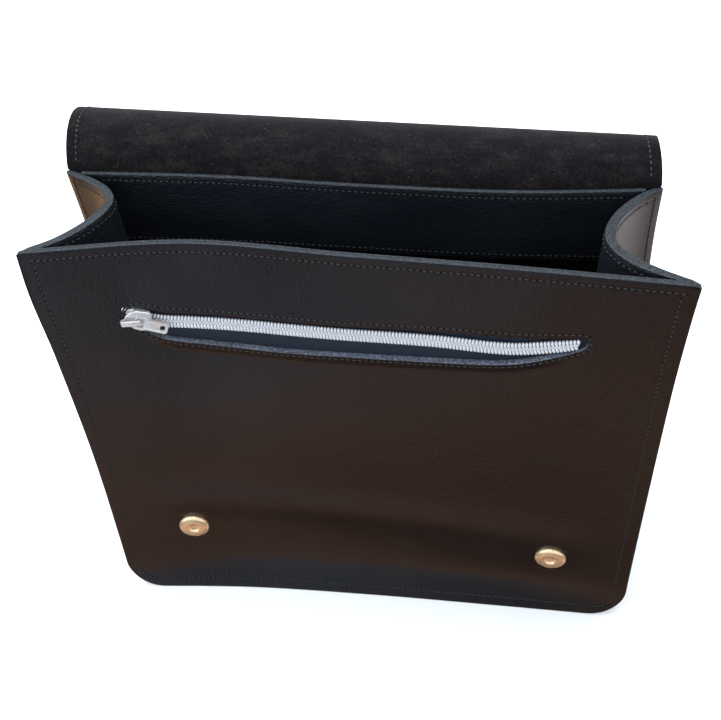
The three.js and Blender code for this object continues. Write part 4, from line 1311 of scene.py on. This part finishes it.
def backSeams():
    outline = outlinePath("back", backSpot, fold["backSeam"], 0, fold["backSeam"])
    z = bag["height"] - bag["facingHeight"] + facing["bottomSeam"]
    across = lineOf(100, *edges("back", z, 16))
    return seamPlaces(outline) + seamPlaces([backSpot(x, z) for x in across])


def facingSeams():
    depthIn = -(bag["leather"] + bag["suede"] + bag["facing"] + 2 * bag["gap"] + bag["seamRoom"])
    places = []
    for down in (facing["topSeam"], bag["facingHeight"] - facing["bottomSeam"]):
        z = bag["height"] - down
        across = lineOf(100, *edges("back", z, facingInset() + 2))
        places += seamPlaces([backSpot(x, z, depthIn, -1) for x in across])
    return places


def gussetSeams():
    places = []

    def facingOut(bend, i, way):
        outward = layerShift(bend["line"], i, way)
        return Vector((bend["inwardX"] * outward.x, outward.y, 0)).normalized()

    def onLayer(bend, i, way, thickness):
        lift = layerDepth(thickness, i, len(bend["line"]) - 1) + 0.02
        return spot(*stripPoint(bend, i, way * lift))

    for side, turn in (("Left", 0), ("Right", pi)):
        bend = foldLine({"side": side, "z": bag["height"] - strip["topSeam"], "turn": turn})
        last = len(bend["line"]) - 1
        for thickness, way in ((bag["gussetLining"], 1), (bag["gussetLeather"], -1)):
            places += seamPlaces([(onLayer(bend, i, way, thickness), facingOut(bend, i, way))
                                  for i in range(4, last - 3)])
        bends = [foldLine({"side": side, "z": z, "turn": turn}) for z in lineOf(49, bag["height"] - 2, 26)]
        for at, way in ((2, 1), (last - 2, -1)):
            places += seamPlaces([
                (onLayer(bend, at, -1, bag["gussetLeather"]).lerp(
                    onLayer(bend, at + way, -1, bag["gussetLeather"]), 0.5), facingOut(bend, at, -1))
                for bend in bends])
    return places


def flapSeams():
    left, right = edges("back", bag["height"])
    width, aside, radius = right - left, flap["sideSeam"], flap["cornerRadius"]
    places = []
    for distance, start in ((bag["gap"] + bag["seamRoom"] + bag["suede"], 4), (-bag["leather"], 1)):
        def spotAt(fromLeft, along):
            inset = cornerInset(flap["length"] - along, radius)
            share = clamp((fromLeft - inset) / (width - 2 * inset), 0, 1)
            angle = flapPlace(share, along)[2]
            normal = Vector((0, -cos(angle), sin(angle))) * copysign(1, distance)
            return spot(*flapPoint(share, along, distance)), normal

        def sideAt(which, _):
            return aside if which == "Left" else width - aside

        path = hemPath(spotAt, sideAt, start, flap["length"] - radius, 1, radius - aside,
                       (radius, width - radius), 120)
        places += seamPlaces(path)
    return places


stitchPattern = makeStitchPattern()
for name, seams in (("frontStitches", frontSeams), ("backStitches", backSeams), ("facingStitches", facingSeams),
                    ("gussetStitches", gussetSeams), ("flapStitches", flapSeams)):
    places = seams()
    stitches = scatter(name, stitchPattern, places)
    bpy.ops.object.shade_smooth()
    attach(stitches, "bag")
    print(name, len(places))
removePiece(stitchPattern)


# Floor, lights and camera
studio = {
    "floor": (0.9, 0.9, 0.9), "worldStrength": 1.6,
    "sky": [(-1.0, (0.02, 0.010, 0.006)), (-0.87, (0.03, 0.015, 0.009)), (-0.81, (0.09, 0.041, 0.021)),
            (-0.745, (0.72, 0.345, 0.165)), (-0.69, (0.34, 0.19, 0.12)), (-0.63, (0.034, 0.054, 0.084)),
            (-0.50, (0.024, 0.038, 0.062)), (-0.28, (0.048, 0.063, 0.092)), (-0.17, (0.16, 0.18, 0.23)),
            (-0.08, (0.74, 0.79, 0.86)), (1.0, (0.9, 0.95, 1.0))],
    "glows": [
        {"way": (-0.25, -0.83, -0.50), "near": 0.975, "colour": (0.38, 0.47, 0.62)},
        {"way": (-0.55, 0.50, -0.66), "near": 0.60, "colour": (0.72, 0.45, 0.24)},
        {"way": (0.66, 0.31, -0.68), "near": 0.65, "colour": (0.70, 0.63, 0.64)},
    ],
    "lights": [
        {"name": "topLight", "place": (-0.25, 0.30, 1.5), "size": 1.2, "power": 30,
         "colour": (0.90, 0.95, 1.0)},
        {"name": "leftLight", "place": (-0.8, -0.65, 0.6), "size": 0.6, "power": 4,
         "colour": (0.78, 0.89, 1.0)},
    ],
}

deselectAll()
bpy.ops.mesh.primitive_plane_add(size=8, location=(0, 0, -0.0005))
floor = bpy.context.object
floor.name = "floor"
floorMaterial, tree, shader = newMaterial("paleFloor")
setSockets(tree, shader, {"Base Color": (*studio["floor"], 1), "Roughness": 0.9})
floor.data.materials.append(floorMaterial)
floor.visible_glossy = False

world = bpy.data.worlds.new("studioWorld")
bpy.context.scene.world = world
world.use_nodes = True
tree = world.node_tree
way = addNode(tree, "ShaderNodeTexCoord", {}).outputs["Generated"]
upward = addNode(tree, "ShaderNodeSeparateXYZ", {"Vector": way}).outputs["Z"]
sky = rampNode(tree, rangeNode(tree, upward, -1, 1, 0, 1), [((z + 1) / 2, tone) for z, tone in studio["sky"]])
for glow in studio["glows"]:
    aim = addNode(tree, "ShaderNodeVectorMath", {0: way, 1: Vector(glow["way"]).normalized()},
                  operation="DOT_PRODUCT").outputs["Value"]
    sky = mixColour(tree, rangeNode(tree, aim, glow["near"], 1.0, 0, 1), sky, glow["colour"])
setSockets(tree, tree.nodes["Background"], {"Color": sky, "Strength": studio["worldStrength"]})

for light in studio["lights"]:
    bpy.ops.object.light_add(type="AREA", location=light["place"])
    lamp = bpy.context.object
    lamp.name = light["name"]
    lamp.data.shape = "SQUARE"
    lamp.data.size = light["size"]
    lamp.data.energy = light["power"]
    lamp.data.color = light["colour"]
    lamp.rotation_euler = (Vector((0, 0, 0.15)) - Vector(light["place"])).to_track_quat("-Z", "Y").to_euler()

view = {
    "azimuth": 10.0, "elevation": 43.0, "roll": -4.5, "distance": 595.3, "aim": (-1.4, 0, 175.3), "lens": 53.2,
    "sensor": 36,
}
azimuth, elevation, roll = (radians(view[key]) for key in ("azimuth", "elevation", "roll"))
backWay = Vector((sin(azimuth) * cos(elevation), -cos(azimuth) * cos(elevation), sin(elevation)))
level = Vector((cos(azimuth), sin(azimuth), 0))
upWay = backWay.cross(level)
rightWay, upWay = level * cos(roll) + upWay * sin(roll), upWay * cos(roll) - level * sin(roll)
bpy.ops.object.camera_add(location=spot(*view["aim"]) + backWay * view["distance"] * 0.001)
camera = bpy.context.object
camera.rotation_euler = Matrix((rightWay, upWay, backWay)).transposed().to_euler()
camera.data.lens = view["lens"]
camera.data.sensor_width = view["sensor"]
bpy.context.scene.camera = camera
bpy.context.scene.view_settings.view_transform = "Standard"
deselectAll()
